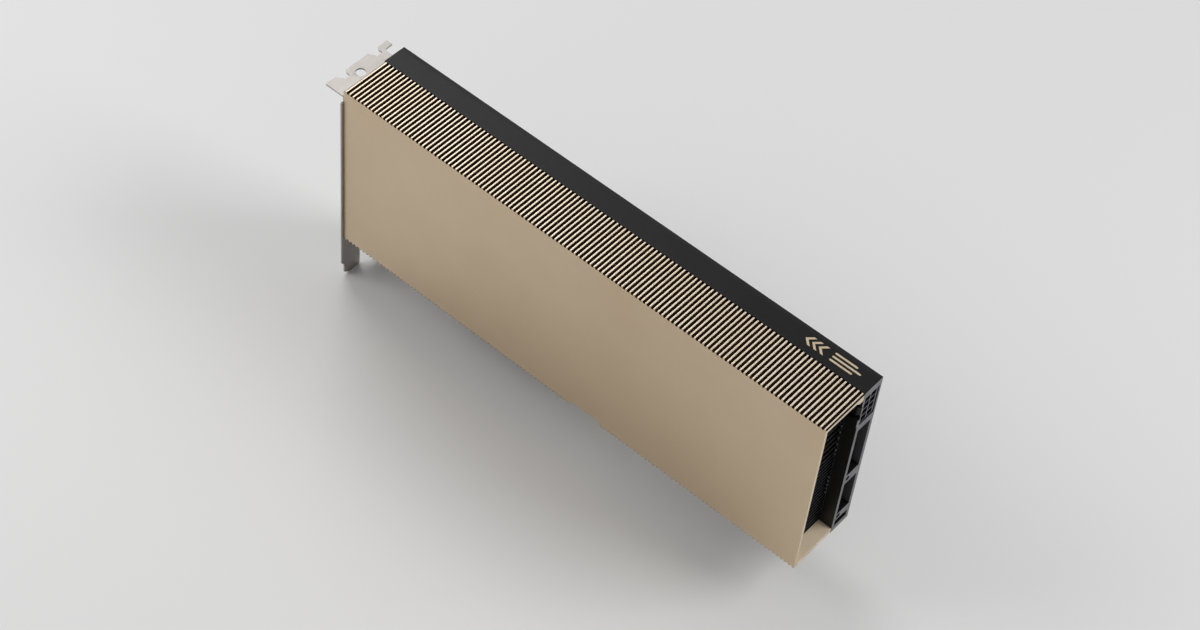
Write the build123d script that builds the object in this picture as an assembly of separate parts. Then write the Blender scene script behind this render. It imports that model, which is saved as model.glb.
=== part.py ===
from build123d import *
import os

os.makedirs("parts", exist_ok=True)

# Frame: the origin lies in the middle of the key notch, at the lower edge of the contact
# tongue and halfway through the board. +X runs from the bracket to the tail, +Y from the
# shroud to the back plate, and +Z up to the card's top edge. All sizes are millimetres.

# Card sizes that the slot standard gives
card_length = 267.7
body_bottom = 13.05
key_from_bracket = 57.15
board_thickness = 1.57
slot_pitch = 20.32

# Closed body: shroud in front, frame behind it, back plate at the back
body_height = 98.1
shroud_depth = 25.85
frame_depth = 12.45
solder_side_depth = 2.7
back_plate_thickness = 2.0

# Gaps between neighbouring pieces, and how far a cut runs past what it goes through
fit_gap = 0.3
thread_gap = 0.03
shank_gap = 0.15
overcut = 1.0

# Shroud walls and ribs
shroud_front_wall = 1.4
shroud_wall = 2.4
groove_pitch = 2.176
groove_width = 1.08
groove_depth = 1.0
first_groove = 2.5
last_land = 1.3
rail_depth = 2.6
bracket_boss_depth = 8.0
bracket_boss_width = 6.0
bracket_boss_edge = 2.75

# Recess for the slot's latch, in the bottom edge of shroud, frame and back plate
recess_mid_x = 91.65
recess_mouth = 19.4
recess_floor = 15.0
recess_depth = 2.4
recess_skin = 1.2

# Frame
frame_top_wall = 4.35
frame_bottom_wall = 3.4
frame_end_wall = 3.0
end_window_margin = 4.0
tail_depth = 10.0
web_thickness = 1.75
lower_bar_bottom = 7.35
lower_bar_height = 4.7
middle_bar_bottom = 34.05
middle_bar_height = 6.05
header_bar_height = 4.35
web_step_depth = 5.0
web_step_width = 0.75
web_step_height = 5.6
extender_hole_radius = 1.25
extender_hole_depth = 8.0
extender_hole_from_web = 1.5

# Board and its edge connector
board_end_gap = 1.5
tongue_left = 12.15
tongue_right = 72.15
tongue_height = 8.25
key_width = 1.9
key_height = 7.4
edge_bevel = 0.4
edge_bevel_height = 1.3
apron_left = 15.0
apron_right = 84.0
hook_gap = 4.4
hook_toe = 2.8
hook_stem = 3.6
hook_toe_bottom = 3.2
hook_toe_height = 2.0
contact_height = 5.4
contact_bottom = 1.4
contact_thickness = 0.05
contact_band_margin = 0.2

# Processors and the chips around them
processor_count = 4
outer_post_inset = 10.45
substrate_size = 28.0
substrate_height = 1.2
die_length = 15.0
die_width = 14.0
die_height = 0.8
paste_thickness = 0.1
memory_length = 14.0
memory_width = 12.0
memory_height = 1.1
memory_gap = 1.5
memory_from_substrate = 1.0
switch_size = 19.0
switch_height = 2.0
row_from_wall = 1.0
row_gap = 0.5
inductor_size = 6.0
inductor_height = 4.0
inductor_clearance = 0.4
stage_length = 6.0
stage_width = 4.5
stage_height = 0.9
capacitor_length = 7.3
capacitor_width = 4.3
capacitor_height = 1.9
capacitor_pitch = 6.0
capacitors_in_column = 4

# Heatsink: narrow gaps between the lower fins, wide ones between the upper fins
heatsink_start = 9.0
fin_tail_recess = 6.4
fin_thickness = 0.35
narrow_fin_pitch = 2.74
wide_fin_pitch = 4.07
wide_fin_count = 10
fin_floor_gap = 1.4
fin_top_gap = 2.6
base_back_gap = 2.515
base_rise = 0.235
post_radius = 2.75
post_offset = 18.0
pedestal_margin = 3.0
pipe_width = 8.0
pipe_thickness = 2.4
pipe_corner = 0.8
pipe_pitch = 14.0
pipe_count = 3
pipe_end_margin = 10.0
pipe_gap = 0.05

# Power header
header_width = 9.5
header_height = 17.15
header_length = 16.6
header_gap = 0.3
header_recess = 0.4
header_offset = 2.77
header_pitch = 4.2
header_rows = 4
cavity_size = 3.5
cavity_depth = 11.0
pin_size = 1.0
pin_tip_recess = 2.5
near_tail = 1.6
far_tail = 8.6
pin_foot = 3.0
board_notch_gap = 2.0
latch_width = 5.4
latch_slot_height = 8.8
latch_height = 1.4
latch_length = 4.0
latch_slope = 1.3

# Screws. The small ones and their holes have six flats, and radii are to the flats.
fastener_flats = 6
cone_angle = 45
shroud_screw_radius = 0.95
shroud_screw_head = 1.9
shroud_thread_length = 2.2
shroud_screws_on_top = 4
plate_screw_radius = 1.2
plate_screw_head = 2.3
plate_thread_length = 2.0
bracket_screw_radius = 1.2
bracket_screw_head = 2.3
bracket_head_height = 1.2
bracket_thread_length = 5.0
bracket_screw_inset = 14.0
screw_end_inset = 12.0
screw_clear = 6.0

# Insulating sheet
sheet_thickness = 0.2
sheet_margin = 1.0
sheet_hole_gap = 0.6

# Bracket
sheet_metal = 0.86
bracket_width = 38.74
bracket_overhang = 1.2
bracket_bottom = -4.2
tab_below_top = 4.47
neck_height = 3.18
tab_shift = 1.7
tab_depth = 11.43
neck_from_notch = 3.68
finger_width = 5.04
finger_depth = 3.4
finger_corner_radius = 1.8
notch_width = 3.4
notch_bottom = 7.5
notch_centre = 9.7
notch_throat = 1.2
notch_taper = 0.2
notch_near_lead = 2.1
notch_far_throat = 2.2
notch_far_lead = 1.3
bend_radius = 0.8
tab_hole_radius = 2.45
tab_hole_depth = 5.6
tab_hole_from_front = 16.1
foot_width = 10.19
foot_tip = -13.34
foot_step = 1.9
foot_corner = 0.9
foot_toe = 3.1
vent_length = 10.5
vent_width = 3.2
vent_pitch_z = 6.0
vent_rows = 10
vent_columns = 2
vent_column_pitch = 12.1
vent_first_column = 8.3

# Levels through the thickness
board_front_y = -board_thickness / 2
board_back_y = board_thickness / 2
back_y = board_back_y + solder_side_depth
plate_inner_y = back_y - back_plate_thickness
seam_y = back_y - frame_depth
front_y = seam_y - shroud_depth
base_front_y = seam_y - base_rise
base_back_y = board_front_y - base_back_gap

# Stations along the length
bracket_x = -key_from_bracket
tail_x = bracket_x + card_length
cavity_left_x = bracket_x + frame_end_wall
cavity_right_x = tail_x - tail_depth
heatsink_left_x = bracket_x + heatsink_start
board_left_x = cavity_left_x + fit_gap
board_right_x = cavity_right_x - board_end_gap
base_right_x = cavity_right_x - fit_gap
header_front_x = tail_x - header_recess
header_back_x = header_front_x - header_length
board_notch_x = header_back_x - board_notch_gap
base_notch_x = header_back_x - far_tail - pin_foot - fit_gap
board_mid_x = (board_left_x + board_right_x) / 2
processor_pitch = (board_right_x - board_left_x - 2 * outer_post_inset) / processor_count

# Heights
card_top = body_bottom + body_height
cavity_bottom = body_bottom + frame_bottom_wall
cavity_top = card_top - frame_top_wall
middle_z = (cavity_bottom + cavity_top) / 2
inductor_row = (cavity_top - cavity_bottom) / 2 - row_from_wall - inductor_size / 2
stage_row = inductor_row - inductor_size / 2 - row_gap - stage_width / 2
memory_row = substrate_size / 2 + memory_from_substrate + memory_width / 2
header_top = cavity_top - header_gap
header_mid_z = header_top - header_height / 2
header_bar_top = header_top - header_height - header_gap
header_bar_bottom = header_bar_top - header_bar_height
lower_bar_z = body_bottom + lower_bar_bottom
middle_bar_z = body_bottom + middle_bar_bottom
bracket_tab_top = card_top - tab_below_top
shoulder_top = bracket_tab_top - neck_height

# Levels of the bracket's plate and tab
bracket_y = front_y - bracket_overhang
tab_y = bracket_y + tab_shift
neck_width = notch_centre + slot_pitch + neck_from_notch


def beyond(span):
    """The same span with a little to spare at both ends, for a cut right through."""
    low, high = span
    return (low - overcut, high + overcut)


def about(middle, size):
    """The span of a size about its middle."""
    return (middle - size / 2, middle + size / 2)


def block(x_span, y_span, z_span):
    """A box between two levels on each axis."""
    middle = [(low + high) / 2 for low, high in (x_span, y_span, z_span)]
    size = [high - low for low, high in (x_span, y_span, z_span)]
    return Pos(*middle) * Box(*size)


def along_y(face, y_span):
    """A face of X and Z points, drawn out along Y."""
    low, high = y_span
    return extrude(Pos(0, high, 0) * (Plane.XZ * face), high - low)


def along_x(face, x_span):
    """A face of Y and Z points, drawn out along X."""
    low, high = x_span
    return extrude(Pos(low, 0, 0) * (Plane.YZ * face), high - low)


def outline(points):
    return make_face(Polyline(*points, close=True))


def flats(across, up, radius):
    """Section of a small screw or its hole, at its place."""
    return Pos(across, up) * RegularPolygon(radius, fastener_flats, major_radius=False)


def rod_y(x, z, radius, y_span):
    """A six-sided rod along Y."""
    return along_y(flats(x, z, radius), y_span)


def rod_x(y, z, radius, x_span):
    """A six-sided rod along X."""
    return along_x(flats(y, z, radius), x_span)


def save(node, solids):
    """Writes one named piece, or a group of like pieces, to its own file."""
    group = solids if isinstance(solids, list) else [solids]
    shape = group[0] if len(group) == 1 else Compound(group)
    shape.label = node
    export_step(shape, f"parts/{node}.step")


def processor_xs():
    """The processors' stations, spread evenly about the board's middle."""
    first = board_mid_x - processor_pitch * (processor_count - 1) / 2
    return [first + processor_pitch * i for i in range(processor_count)]


def processor_places():
    return [(x, middle_z) for x in processor_xs()]


def between_processors():
    """Stations halfway between the processors, and as far outside the outer two."""
    first = board_mid_x - processor_pitch * processor_count / 2
    return [first + processor_pitch * i for i in range(processor_count + 1)]


def post_places():
    """Screw posts above and below, so that each processor has one at every corner."""
    return [(x, middle_z + up * post_offset) for x in between_processors() for up in (-1, 1)]


def shroud_screw_places():
    """Screws along the top wall, and along the bottom wall clear of board and recess."""
    top_z = card_top - frame_top_wall / 2
    bottom_z = body_bottom + frame_bottom_wall / 2
    left = bracket_x + screw_end_inset
    right = tail_x - screw_end_inset
    step = (right - left) / (shroud_screws_on_top - 1)
    recess_right = recess_mid_x + recess_mouth / 2 + screw_clear
    top = [(left + step * i, top_z) for i in range(shroud_screws_on_top)]
    return top + [(x, bottom_z) for x in (-apron_left - screw_clear, recess_right, right)]


def bracket_screw_places():
    """Two screws into the shroud's bosses and two into the frame's end wall."""
    boss_y = front_y + shroud_front_wall + bracket_boss_width / 2
    frame_y = (seam_y + plate_inner_y) / 2
    low = body_bottom + bracket_screw_inset
    high = card_top - bracket_screw_inset
    return [(boss_y, low), (boss_y, high), (frame_y, low), (frame_y, high)]


def latch_recess(y_span, skin=0.0):
    """The trapezoid that the slot's latch swings in, or that and a skin round it."""
    mouth = recess_mouth / 2 + skin
    floor = recess_floor / 2 + skin
    top = body_bottom + recess_depth + skin
    points = [
        (recess_mid_x - mouth, body_bottom),
        (recess_mid_x - floor, top),
        (recess_mid_x + floor, top),
        (recess_mid_x + mouth, body_bottom),
    ]
    return along_y(outline(points), y_span)


def ribbed_edge(z, inward):
    """Outline points of one ribbed edge, from the bracket to the tail."""
    count = int((card_length - first_groove - groove_width / 2 - last_land) / groove_pitch) + 1
    points = [(bracket_x, z)]
    for i in range(count):
        left, right = about(bracket_x + first_groove + groove_pitch * i, groove_width)
        floor = z + inward * groove_depth
        points += [(left, z), (left, floor), (right, floor), (right, z)]
    return points + [(tail_x, z)]


def shroud():
    """Ribbed channel, open at both ends and at the back."""
    edges = ribbed_edge(body_bottom, 1) + ribbed_edge(card_top, -1)[::-1]
    body = along_y(outline(edges), (front_y, seam_y))
    length = beyond((bracket_x, tail_x))
    inner_y = front_y + shroud_front_wall
    rail_y = seam_y - rail_depth
    hollow = block(length, (inner_y, rail_y), (body_bottom + shroud_wall, card_top - shroud_wall))
    hollow += block(length, (rail_y, seam_y + overcut), (cavity_bottom, cavity_top))
    hollow -= latch_recess((front_y, seam_y + overcut), recess_skin)
    boss_x = (bracket_x - overcut, bracket_x + bracket_boss_depth)
    boss_y = (inner_y, inner_y + bracket_boss_width)
    boss_reach = bracket_screw_inset + bracket_boss_edge
    hollow -= block(boss_x, boss_y, (body_bottom, body_bottom + boss_reach))
    hollow -= block(boss_x, boss_y, (card_top - boss_reach, card_top))
    body -= hollow
    body -= latch_recess(beyond((front_y, seam_y)))
    thread_y = (seam_y - shroud_thread_length - fit_gap, seam_y + overcut)
    for x, z in shroud_screw_places():
        body -= rod_y(x, z, shroud_screw_radius + thread_gap, thread_y)
    thread_x = (bracket_x - overcut, bracket_x + bracket_thread_length + fit_gap)
    for y, z in bracket_screw_places()[:2]:
        body -= rod_x(y, z, bracket_screw_radius + thread_gap, thread_x)
    return body


def tail_windows():
    """The three windows and the header's opening in the frame's tail wall."""
    x_span = beyond((cavity_right_x, tail_x))
    y_span = (seam_y + web_thickness, plate_inner_y + overcut)
    low = block(x_span, y_span, (cavity_bottom, lower_bar_z))
    middle = block(x_span, y_span, (lower_bar_z + lower_bar_height, middle_bar_z))
    high = block(x_span, y_span, (middle_bar_z + middle_bar_height, header_bar_bottom))
    header_y = -header_offset - header_width / 2 - header_gap
    header = block(x_span, (header_y, plate_inner_y + overcut), (header_bar_top, cavity_top))
    return [low, middle, high, header]


def extender_hole_places():
    """One tapped hole in each of the two lower bars, beside the web."""
    y = seam_y + web_thickness + extender_hole_from_web
    return [(y, lower_bar_z + lower_bar_height / 2), (y, middle_bar_z + middle_bar_height / 2)]


def side_frame():
    """Deep ring behind the shroud, with bars and windows at the tail."""
    y_span = (seam_y, plate_inner_y)
    cut_y = beyond(y_span)
    body = block((bracket_x, tail_x), y_span, (body_bottom, card_top))
    body -= block((cavity_left_x, cavity_right_x), cut_y, (cavity_bottom, cavity_top))
    end_wall_x = beyond((bracket_x, cavity_left_x))
    margin = bracket_screw_inset + end_window_margin
    window_y = (seam_y + web_thickness, plate_inner_y + overcut)
    body -= block(end_wall_x, window_y, (body_bottom + margin, card_top - margin))
    body -= tail_windows()
    step_z = (header_bar_top, header_bar_top + web_step_height)
    body += block((tail_x - web_step_depth, tail_x), (seam_y - web_step_width, seam_y), step_z)
    latch_y = (seam_y - overcut, seam_y + web_thickness)
    body -= block(beyond((cavity_right_x, tail_x)), latch_y, about(header_mid_z, latch_slot_height))
    apron_x = (-apron_left - fit_gap, apron_right + fit_gap)
    apron_y = (board_front_y - fit_gap, plate_inner_y + overcut)
    body -= block(apron_x, apron_y, beyond((body_bottom, cavity_bottom)))
    body -= latch_recess(cut_y)
    for x, z in shroud_screw_places():
        body -= rod_y(x, z, shroud_screw_radius + shank_gap, cut_y)
    for y, z in bracket_screw_places()[2:]:
        body -= rod_x(y, z, bracket_screw_radius + thread_gap, end_wall_x)
    for y, z in extender_hole_places():
        bore = Cylinder(extender_hole_radius, extender_hole_depth)
        body -= Pos(tail_x - extender_hole_depth / 2, y, z) * Rot(0, 90, 0) * bore
    return body


def countersink(x, z, radius, head):
    """A cone that narrows from the head at the back face to the shank."""
    face = Pos(0, back_y, 0) * (Plane.XZ * flats(x, z, head))
    return extrude(face, head - radius, taper=cone_angle)


def countersunk_hole(x, z, radius, head, y_end):
    """Clearance hole with a cone for the screw's head, from the back face inward."""
    shank = rod_y(x, z, radius + shank_gap, (y_end - overcut, back_y))
    return countersink(x, z, radius, head) + shank


def countersunk_screw(x, z, radius, head, y_end):
    """A flat-headed screw, flush with the back face."""
    shank = rod_y(x, z, radius, (y_end, back_y - head + radius))
    return countersink(x, z, radius, head) + shank


def back_plate():
    """Flat plate over the whole back, with spacer bosses that carry the board."""
    body = block((bracket_x, tail_x), (plate_inner_y, back_y), (body_bottom, card_top))
    for x, z in post_places():
        body += rod_y(x, z, post_radius, (board_back_y, plate_inner_y))
    body -= latch_recess(beyond((plate_inner_y, back_y)))
    header_y = (plate_inner_y - overcut, -header_offset + header_width / 2 + header_gap)
    header_x = (header_back_x - fit_gap, tail_x + overcut)
    body -= block(header_x, header_y, (header_bar_top, cavity_top))
    for x, z in post_places():
        body -= countersunk_hole(x, z, plate_screw_radius, plate_screw_head, board_back_y)
    for x, z in shroud_screw_places():
        body -= countersunk_hole(x, z, shroud_screw_radius, shroud_screw_head, plate_inner_y)
    return body


def insulating_sheet():
    """Film on the plate's inner face, cut out round the bosses and the header."""
    x_span = (cavity_left_x + sheet_margin, cavity_right_x - sheet_margin)
    z_span = (cavity_bottom + sheet_margin, cavity_top - sheet_margin)
    y_span = (plate_inner_y - sheet_thickness, plate_inner_y)
    sheet = block(x_span, y_span, z_span)
    notch_z = (header_bar_top - sheet_margin, card_top)
    sheet -= block((board_notch_x - sheet_margin, tail_x), beyond(y_span), notch_z)
    hole = 2 * (post_radius + sheet_hole_gap)
    for x, z in post_places():
        sheet -= chip(x, z, hole, hole, beyond(y_span))
    return sheet


def circuit_board():
    """Board with its header notch, apron, bevelled tongue, key and hook."""
    y_span = (board_front_y, board_back_y)
    low = cavity_bottom + fit_gap
    board = block((board_left_x, board_right_x), y_span, (low, cavity_top - fit_gap))
    notch_z = (header_bar_top - fit_gap, card_top)
    board -= block((board_notch_x, board_right_x + overcut), beyond(y_span), notch_z)
    board += block((-apron_left, apron_right), y_span, (tongue_height, low))
    board += tongue()
    hook_left = tongue_right + hook_gap
    stem_left = hook_left + hook_toe
    board += block((stem_left, stem_left + hook_stem), y_span, (hook_toe_bottom, tongue_height))
    toe_z = (hook_toe_bottom, hook_toe_bottom + hook_toe_height)
    board += block((hook_left, stem_left), y_span, toe_z)
    for x, z in post_places():
        board -= rod_y(x, z, plate_screw_radius + shank_gap, beyond(y_span))
    return board


def tongue():
    """Contact tongue, bevelled along its lower edge and slotted for the key."""
    tip = board_back_y - edge_bevel
    profile = [
        (-tip, 0),
        (tip, 0),
        (board_back_y, edge_bevel_height),
        (board_back_y, tongue_height),
        (board_front_y, tongue_height),
        (board_front_y, edge_bevel_height),
    ]
    body = along_x(outline(profile), (-tongue_left, tongue_right))
    key_y = beyond((board_front_y, board_back_y))
    return body - block(about(0, key_width), key_y, (-overcut, key_height))


def edge_contacts():
    """The bands of contacts on both faces of the tongue, on both sides of the key."""
    bands = [
        (-tongue_left + contact_band_margin, -key_width / 2 - contact_band_margin),
        (key_width / 2 + contact_band_margin, tongue_right - contact_band_margin),
    ]
    faces = [
        (board_front_y - contact_thickness, board_front_y),
        (board_back_y, board_back_y + contact_thickness),
    ]
    z_span = (contact_bottom, contact_bottom + contact_height)
    return [block(x_span, y_span, z_span) for x_span in bands for y_span in faces]


def chip(x, z, length, width, y_span):
    """A flat rectangular piece, centred on its place on the board."""
    return block(about(x, length), y_span, about(z, width))


def on_board(places, length, width, height):
    """Like pieces that stand on the board's front face."""
    y_span = (board_front_y - height, board_front_y)
    return [chip(x, z, length, width, y_span) for x, z in places]


def pads_over(places, length, width, height):
    """Thermal pads between such pieces and the base plate."""
    y_span = (base_back_y, board_front_y - height)
    return [chip(x, z, length, width, y_span) for x, z in places]


def memory_pair_places():
    """A pair above and a pair below each processor."""
    return [(x, middle_z + up * memory_row) for x in processor_xs() for up in (-1, 1)]


def memory_places():
    aside = (memory_length + memory_gap) / 2
    return [(x + side * aside, z) for x, z in memory_pair_places() for side in (-1, 1)]


def row_xs():
    """Stations of the power parts, two to a processor in each row."""
    return [x + side * processor_pitch / 4 for x in processor_xs() for side in (-1, 1)]


def row_places(offset):
    return [(x, middle_z + side * offset) for side in (-1, 1) for x in row_xs()]


def power_stage_pads():
    """One long pad over each row of power stages."""
    length = row_xs()[-1] - row_xs()[0] + stage_length
    middle = (row_xs()[0] + row_xs()[-1]) / 2
    places = [(middle, middle_z + side * stage_row) for side in (-1, 1)]
    return pads_over(places, length, stage_width, stage_height)


def capacitor_places():
    """Columns between the outer processors, and one before the header."""
    stations = between_processors()
    columns = [stations[1], stations[-2], stations[-1]]
    middle = (capacitors_in_column - 1) / 2
    return [
        (x, middle_z + capacitor_pitch * (i - middle))
        for x in columns
        for i in range(capacitors_in_column)
    ]


def over_processors(height, thickness):
    """Like flat pieces of the dies' size, at a height over the board."""
    top = board_front_y - height
    y_span = (top - thickness, top)
    return [chip(x, z, die_length, die_width, y_span) for x, z in processor_places()]


def pipe_heights():
    middle = (pipe_count - 1) / 2
    return [middle_z + pipe_pitch * (i - middle) for i in range(pipe_count)]


def base_plate():
    """Plate with grooves for the pipes, rebates for the inductors, pedestals and posts."""
    y_span = (base_front_y, base_back_y)
    z_span = (cavity_bottom + fit_gap, cavity_top - fit_gap)
    body = block((heatsink_left_x, base_right_x), y_span, z_span)
    notch_x = (base_notch_x, base_right_x + overcut)
    body -= block(notch_x, beyond(y_span), (header_bar_top - fit_gap, card_top))
    groove_x = (heatsink_left_x + pipe_end_margin, base_right_x - pipe_end_margin)
    groove_y = (base_front_y - overcut, base_front_y + pipe_thickness)
    for z in pipe_heights():
        body -= block(groove_x, groove_y, about(z, pipe_width + 2 * pipe_gap))
    rebate_x = beyond((heatsink_left_x, base_right_x))
    rebate_y = (board_front_y - inductor_height - inductor_clearance, base_back_y + overcut)
    rebate_edge = inductor_row - inductor_size / 2 - inductor_clearance
    body -= block(rebate_x, rebate_y, (body_bottom, middle_z - rebate_edge))
    body -= block(rebate_x, rebate_y, (middle_z + rebate_edge, card_top))
    die_top = board_front_y - substrate_height - die_height - paste_thickness
    length = die_length + pedestal_margin
    width = die_width + pedestal_margin
    for x, z in processor_places():
        body += chip(x, z, length, width, (base_back_y, die_top))
    for x, z in post_places():
        body += rod_y(x, z, post_radius, (base_back_y, board_front_y))
    thread_y = (board_front_y - plate_thread_length - fit_gap, board_front_y + overcut)
    for x, z in post_places():
        body -= rod_y(x, z, plate_screw_radius + thread_gap, thread_y)
    return body


def heat_pipes():
    """Flattened pipes with soft corners, flush in the base plate's grooves."""
    section = Rectangle(pipe_thickness, pipe_width)
    section = chamfer(section.vertices(), pipe_corner)
    y = base_front_y + pipe_thickness / 2
    left = heatsink_left_x + pipe_end_margin + pipe_gap
    right = base_right_x - pipe_end_margin - pipe_gap
    return [along_x(Pos(y, z) * section, (left, right)) for z in pipe_heights()]


def fin_heights():
    """Heights of the fins: wide gaps down from the top wall, narrow ones up from the floor."""
    highest = cavity_top - fin_top_gap
    wide = [highest - wide_fin_pitch * i for i in range(wide_fin_count)]
    floor = max(cavity_bottom, body_bottom + recess_depth + recess_skin)
    lowest = floor + fin_floor_gap
    count = int((wide[-1] - lowest) / narrow_fin_pitch)
    return [lowest + narrow_fin_pitch * i for i in range(count)] + wide[::-1]


def fin_stack():
    """Flat fins that stand on the base plate and reach to the shroud's front wall."""
    x_span = (heatsink_left_x, tail_x - fin_tail_recess)
    y_span = (front_y + shroud_front_wall + fit_gap, base_front_y)
    return [block(x_span, y_span, (z, z + fin_thickness)) for z in fin_heights()]


def header_cavities():
    """Centres of the header's cavities, in Y and Z."""
    columns = [-header_offset + side * header_pitch / 2 for side in (-1, 1)]
    middle = (header_rows - 1) / 2
    rows = [header_mid_z + header_pitch * (i - middle) for i in range(header_rows)]
    return [(y, z) for y in columns for z in rows]


def power_header():
    """Moulded housing with two columns of cavities and a latch ramp on its front side."""
    y_span = about(-header_offset, header_width)
    housing_x = (header_back_x, header_front_x)
    body = block(housing_x, y_span, about(header_mid_z, header_height))
    cavity_x = (header_front_x - cavity_depth, header_front_x + overcut)
    for y, z in header_cavities():
        body -= block(cavity_x, about(y, cavity_size), about(z, cavity_size))
        body -= block(beyond(housing_x), about(y, pin_size), about(z, pin_size))
    ramp = [
        (header_front_x - latch_length, y_span[0]),
        (header_front_x - latch_length, y_span[0] - latch_height),
        (header_front_x - latch_slope, y_span[0] - latch_height),
        (header_front_x, y_span[0]),
    ]
    low = header_mid_z - latch_width / 2
    return body + extrude(Pos(0, 0, low) * outline(ramp), latch_width)


def header_pins():
    """Straight pins whose tails step across to feet on the board's front face."""
    tip = header_front_x - pin_tip_recess
    foot_y = (board_front_y - pin_size, board_front_y)
    pins = []
    for y, z in header_cavities():
        low, high = about(y, pin_size)
        z_span = about(z, pin_size)
        tail = far_tail if y < -header_offset else near_tail
        end = header_back_x - tail
        step_y = (min(low, foot_y[0]), max(high, foot_y[1]))
        pin = block((end, tip), (low, high), z_span)
        pin += block((end, end + pin_size), step_y, z_span)
        pin += block((end - pin_foot, end + pin_size), foot_y, z_span)
        pins.append(pin)
    return pins


def bracket_outline():
    """The upright plate's outline, with its shoulders, neck and two feet."""
    feet = []
    for i in (1, 0):
        near = bracket_y + tab_shift + slot_pitch * i
        far = near + foot_width
        feet += [
            (far, bracket_bottom),
            (far, foot_tip + foot_corner),
            (far - foot_corner, foot_tip),
            (near + foot_toe, foot_tip),
            (near, foot_tip + foot_step),
            (near, bracket_bottom - foot_step),
            (near - foot_step, bracket_bottom),
        ]
    return [
        (tab_y, bracket_tab_top),
        (tab_y + neck_width, bracket_tab_top),
        (tab_y + neck_width, shoulder_top),
        (bracket_y + bracket_width, shoulder_top),
        (bracket_y + bracket_width, bracket_bottom),
        *feet[:-1],
        (bracket_y, bracket_bottom),
        (bracket_y, shoulder_top),
        (tab_y, shoulder_top),
    ]


def tab_outline():
    """The tab's outline: two screw notches with lead-ins, and a finger at the far end."""
    outer = bracket_x - tab_depth
    floor = bracket_x - notch_bottom
    half = notch_width / 2
    points = [(bracket_x, tab_y), (outer, tab_y)]
    for i in range(2):
        centre = tab_y + notch_centre + slot_pitch * i
        points += [
            (outer, centre - half - notch_near_lead),
            (floor - notch_throat, centre - half - notch_taper),
            (floor, centre - half),
            (floor, centre + half),
            (floor - notch_far_throat, centre + half),
            (outer, centre + half + notch_far_lead),
        ]
    finger_x = outer + finger_depth
    tab_width = neck_width + finger_width
    return points + [
        (outer, tab_y + tab_width),
        (finger_x, tab_y + tab_width),
        (finger_x, tab_y + neck_width),
        (bracket_x, tab_y + neck_width),
    ]


def vent_places():
    """Exhaust slots in columns in front of the fins."""
    middle = (vent_rows - 1) / 2
    mid_z = (body_bottom + card_top) / 2
    first = front_y + vent_first_column
    columns = [first + vent_column_pitch * i for i in range(vent_columns)]
    rows = [mid_z + vent_pitch_z * (i - middle) for i in range(vent_rows)]
    return [(y, z) for y in columns for z in rows]


def bracket_tab():
    """The notched tab, bent over at the top, with its locating hole."""
    tab_z = bracket_tab_top - sheet_metal
    tab = extrude(Pos(0, 0, tab_z) * outline(tab_outline()), sheet_metal)
    corner = tab.edges().filter_by(Axis.Z).sort_by_distance(
        (bracket_x - tab_depth + finger_depth, tab_y + neck_width, bracket_tab_top)
    )[0]
    tab = fillet(corner, min(finger_corner_radius, finger_width / 2))
    hole = Cylinder(tab_hole_radius, 2 * sheet_metal)
    return tab - Pos(bracket_x - tab_hole_depth, tab_y + tab_hole_from_front, tab_z) * hole


def io_bracket():
    """Bent sheet: upright plate with vents and feet, and a notched tab on top."""
    sheet_x = (bracket_x - sheet_metal, bracket_x)
    plate = along_x(outline(bracket_outline()), sheet_x)
    for y, z in vent_places():
        plate -= block(beyond(sheet_x), about(y, vent_length), about(z, vent_width))
    for y, z in bracket_screw_places():
        plate -= rod_x(y, z, bracket_screw_radius + shank_gap, beyond(sheet_x))
    body = plate + bracket_tab()
    bend = body.edges().filter_by(Axis.Y).sort_by_distance(
        (bracket_x, tab_y + neck_width / 2, bracket_tab_top)
    )[0]
    return fillet(bend, bend_radius)


def bracket_screws():
    """Hexagon-headed screws, from the bracket's outer face."""
    outer = bracket_x - sheet_metal
    screws = []
    for index, (y, z) in enumerate(bracket_screw_places()):
        reach = bracket_thread_length if index < 2 else frame_end_wall
        head = rod_x(y, z, bracket_screw_head, (outer - bracket_head_height, outer))
        screws.append(head + rod_x(y, z, bracket_screw_radius, (outer, bracket_x + reach)))
    return screws


def shroud_screws():
    end = seam_y - shroud_thread_length
    return [
        countersunk_screw(x, z, shroud_screw_radius, shroud_screw_head, end)
        for x, z in shroud_screw_places()
    ]


def back_plate_screws():
    end = board_front_y - plate_thread_length
    return [
        countersunk_screw(x, z, plate_screw_radius, plate_screw_head, end)
        for x, z in post_places()
    ]


processors = processor_places()
memory_pair_length = 2 * memory_length + memory_gap
die_base = substrate_height + die_height

save("shroud", shroud())
save("side_frame", side_frame())
save("back_plate", back_plate())
save("insulating_sheet", insulating_sheet())
save("circuit_board", circuit_board())
save("edge_contacts", edge_contacts())
save("processor_substrates", on_board(processors, substrate_size, substrate_size, substrate_height))
save("processor_dies", over_processors(substrate_height, die_height))
save("thermal_paste", over_processors(die_base, paste_thickness))
save("memory_chips", on_board(memory_places(), memory_length, memory_width, memory_height))
save("memory_pads", pads_over(memory_pair_places(), memory_pair_length, memory_width, memory_height))
save("switch_chip", on_board([(board_mid_x, middle_z)], switch_size, switch_size, switch_height))
save("switch_pad", pads_over([(board_mid_x, middle_z)], switch_size, switch_size, switch_height))
save("power_stages", on_board(row_places(stage_row), stage_length, stage_width, stage_height))
save("power_stage_pads", power_stage_pads())
save("power_inductors", on_board(row_places(inductor_row), inductor_size, inductor_size, inductor_height))
save("capacitors", on_board(capacitor_places(), capacitor_length, capacitor_width, capacitor_height))
save("base_plate", base_plate())
save("heat_pipes", heat_pipes())
save("fin_stack", fin_stack())
save("power_header", power_header())
save("header_pins", header_pins())
save("io_bracket", io_bracket())
save("bracket_screws", bracket_screws())
save("shroud_screws", shroud_screws())
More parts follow.
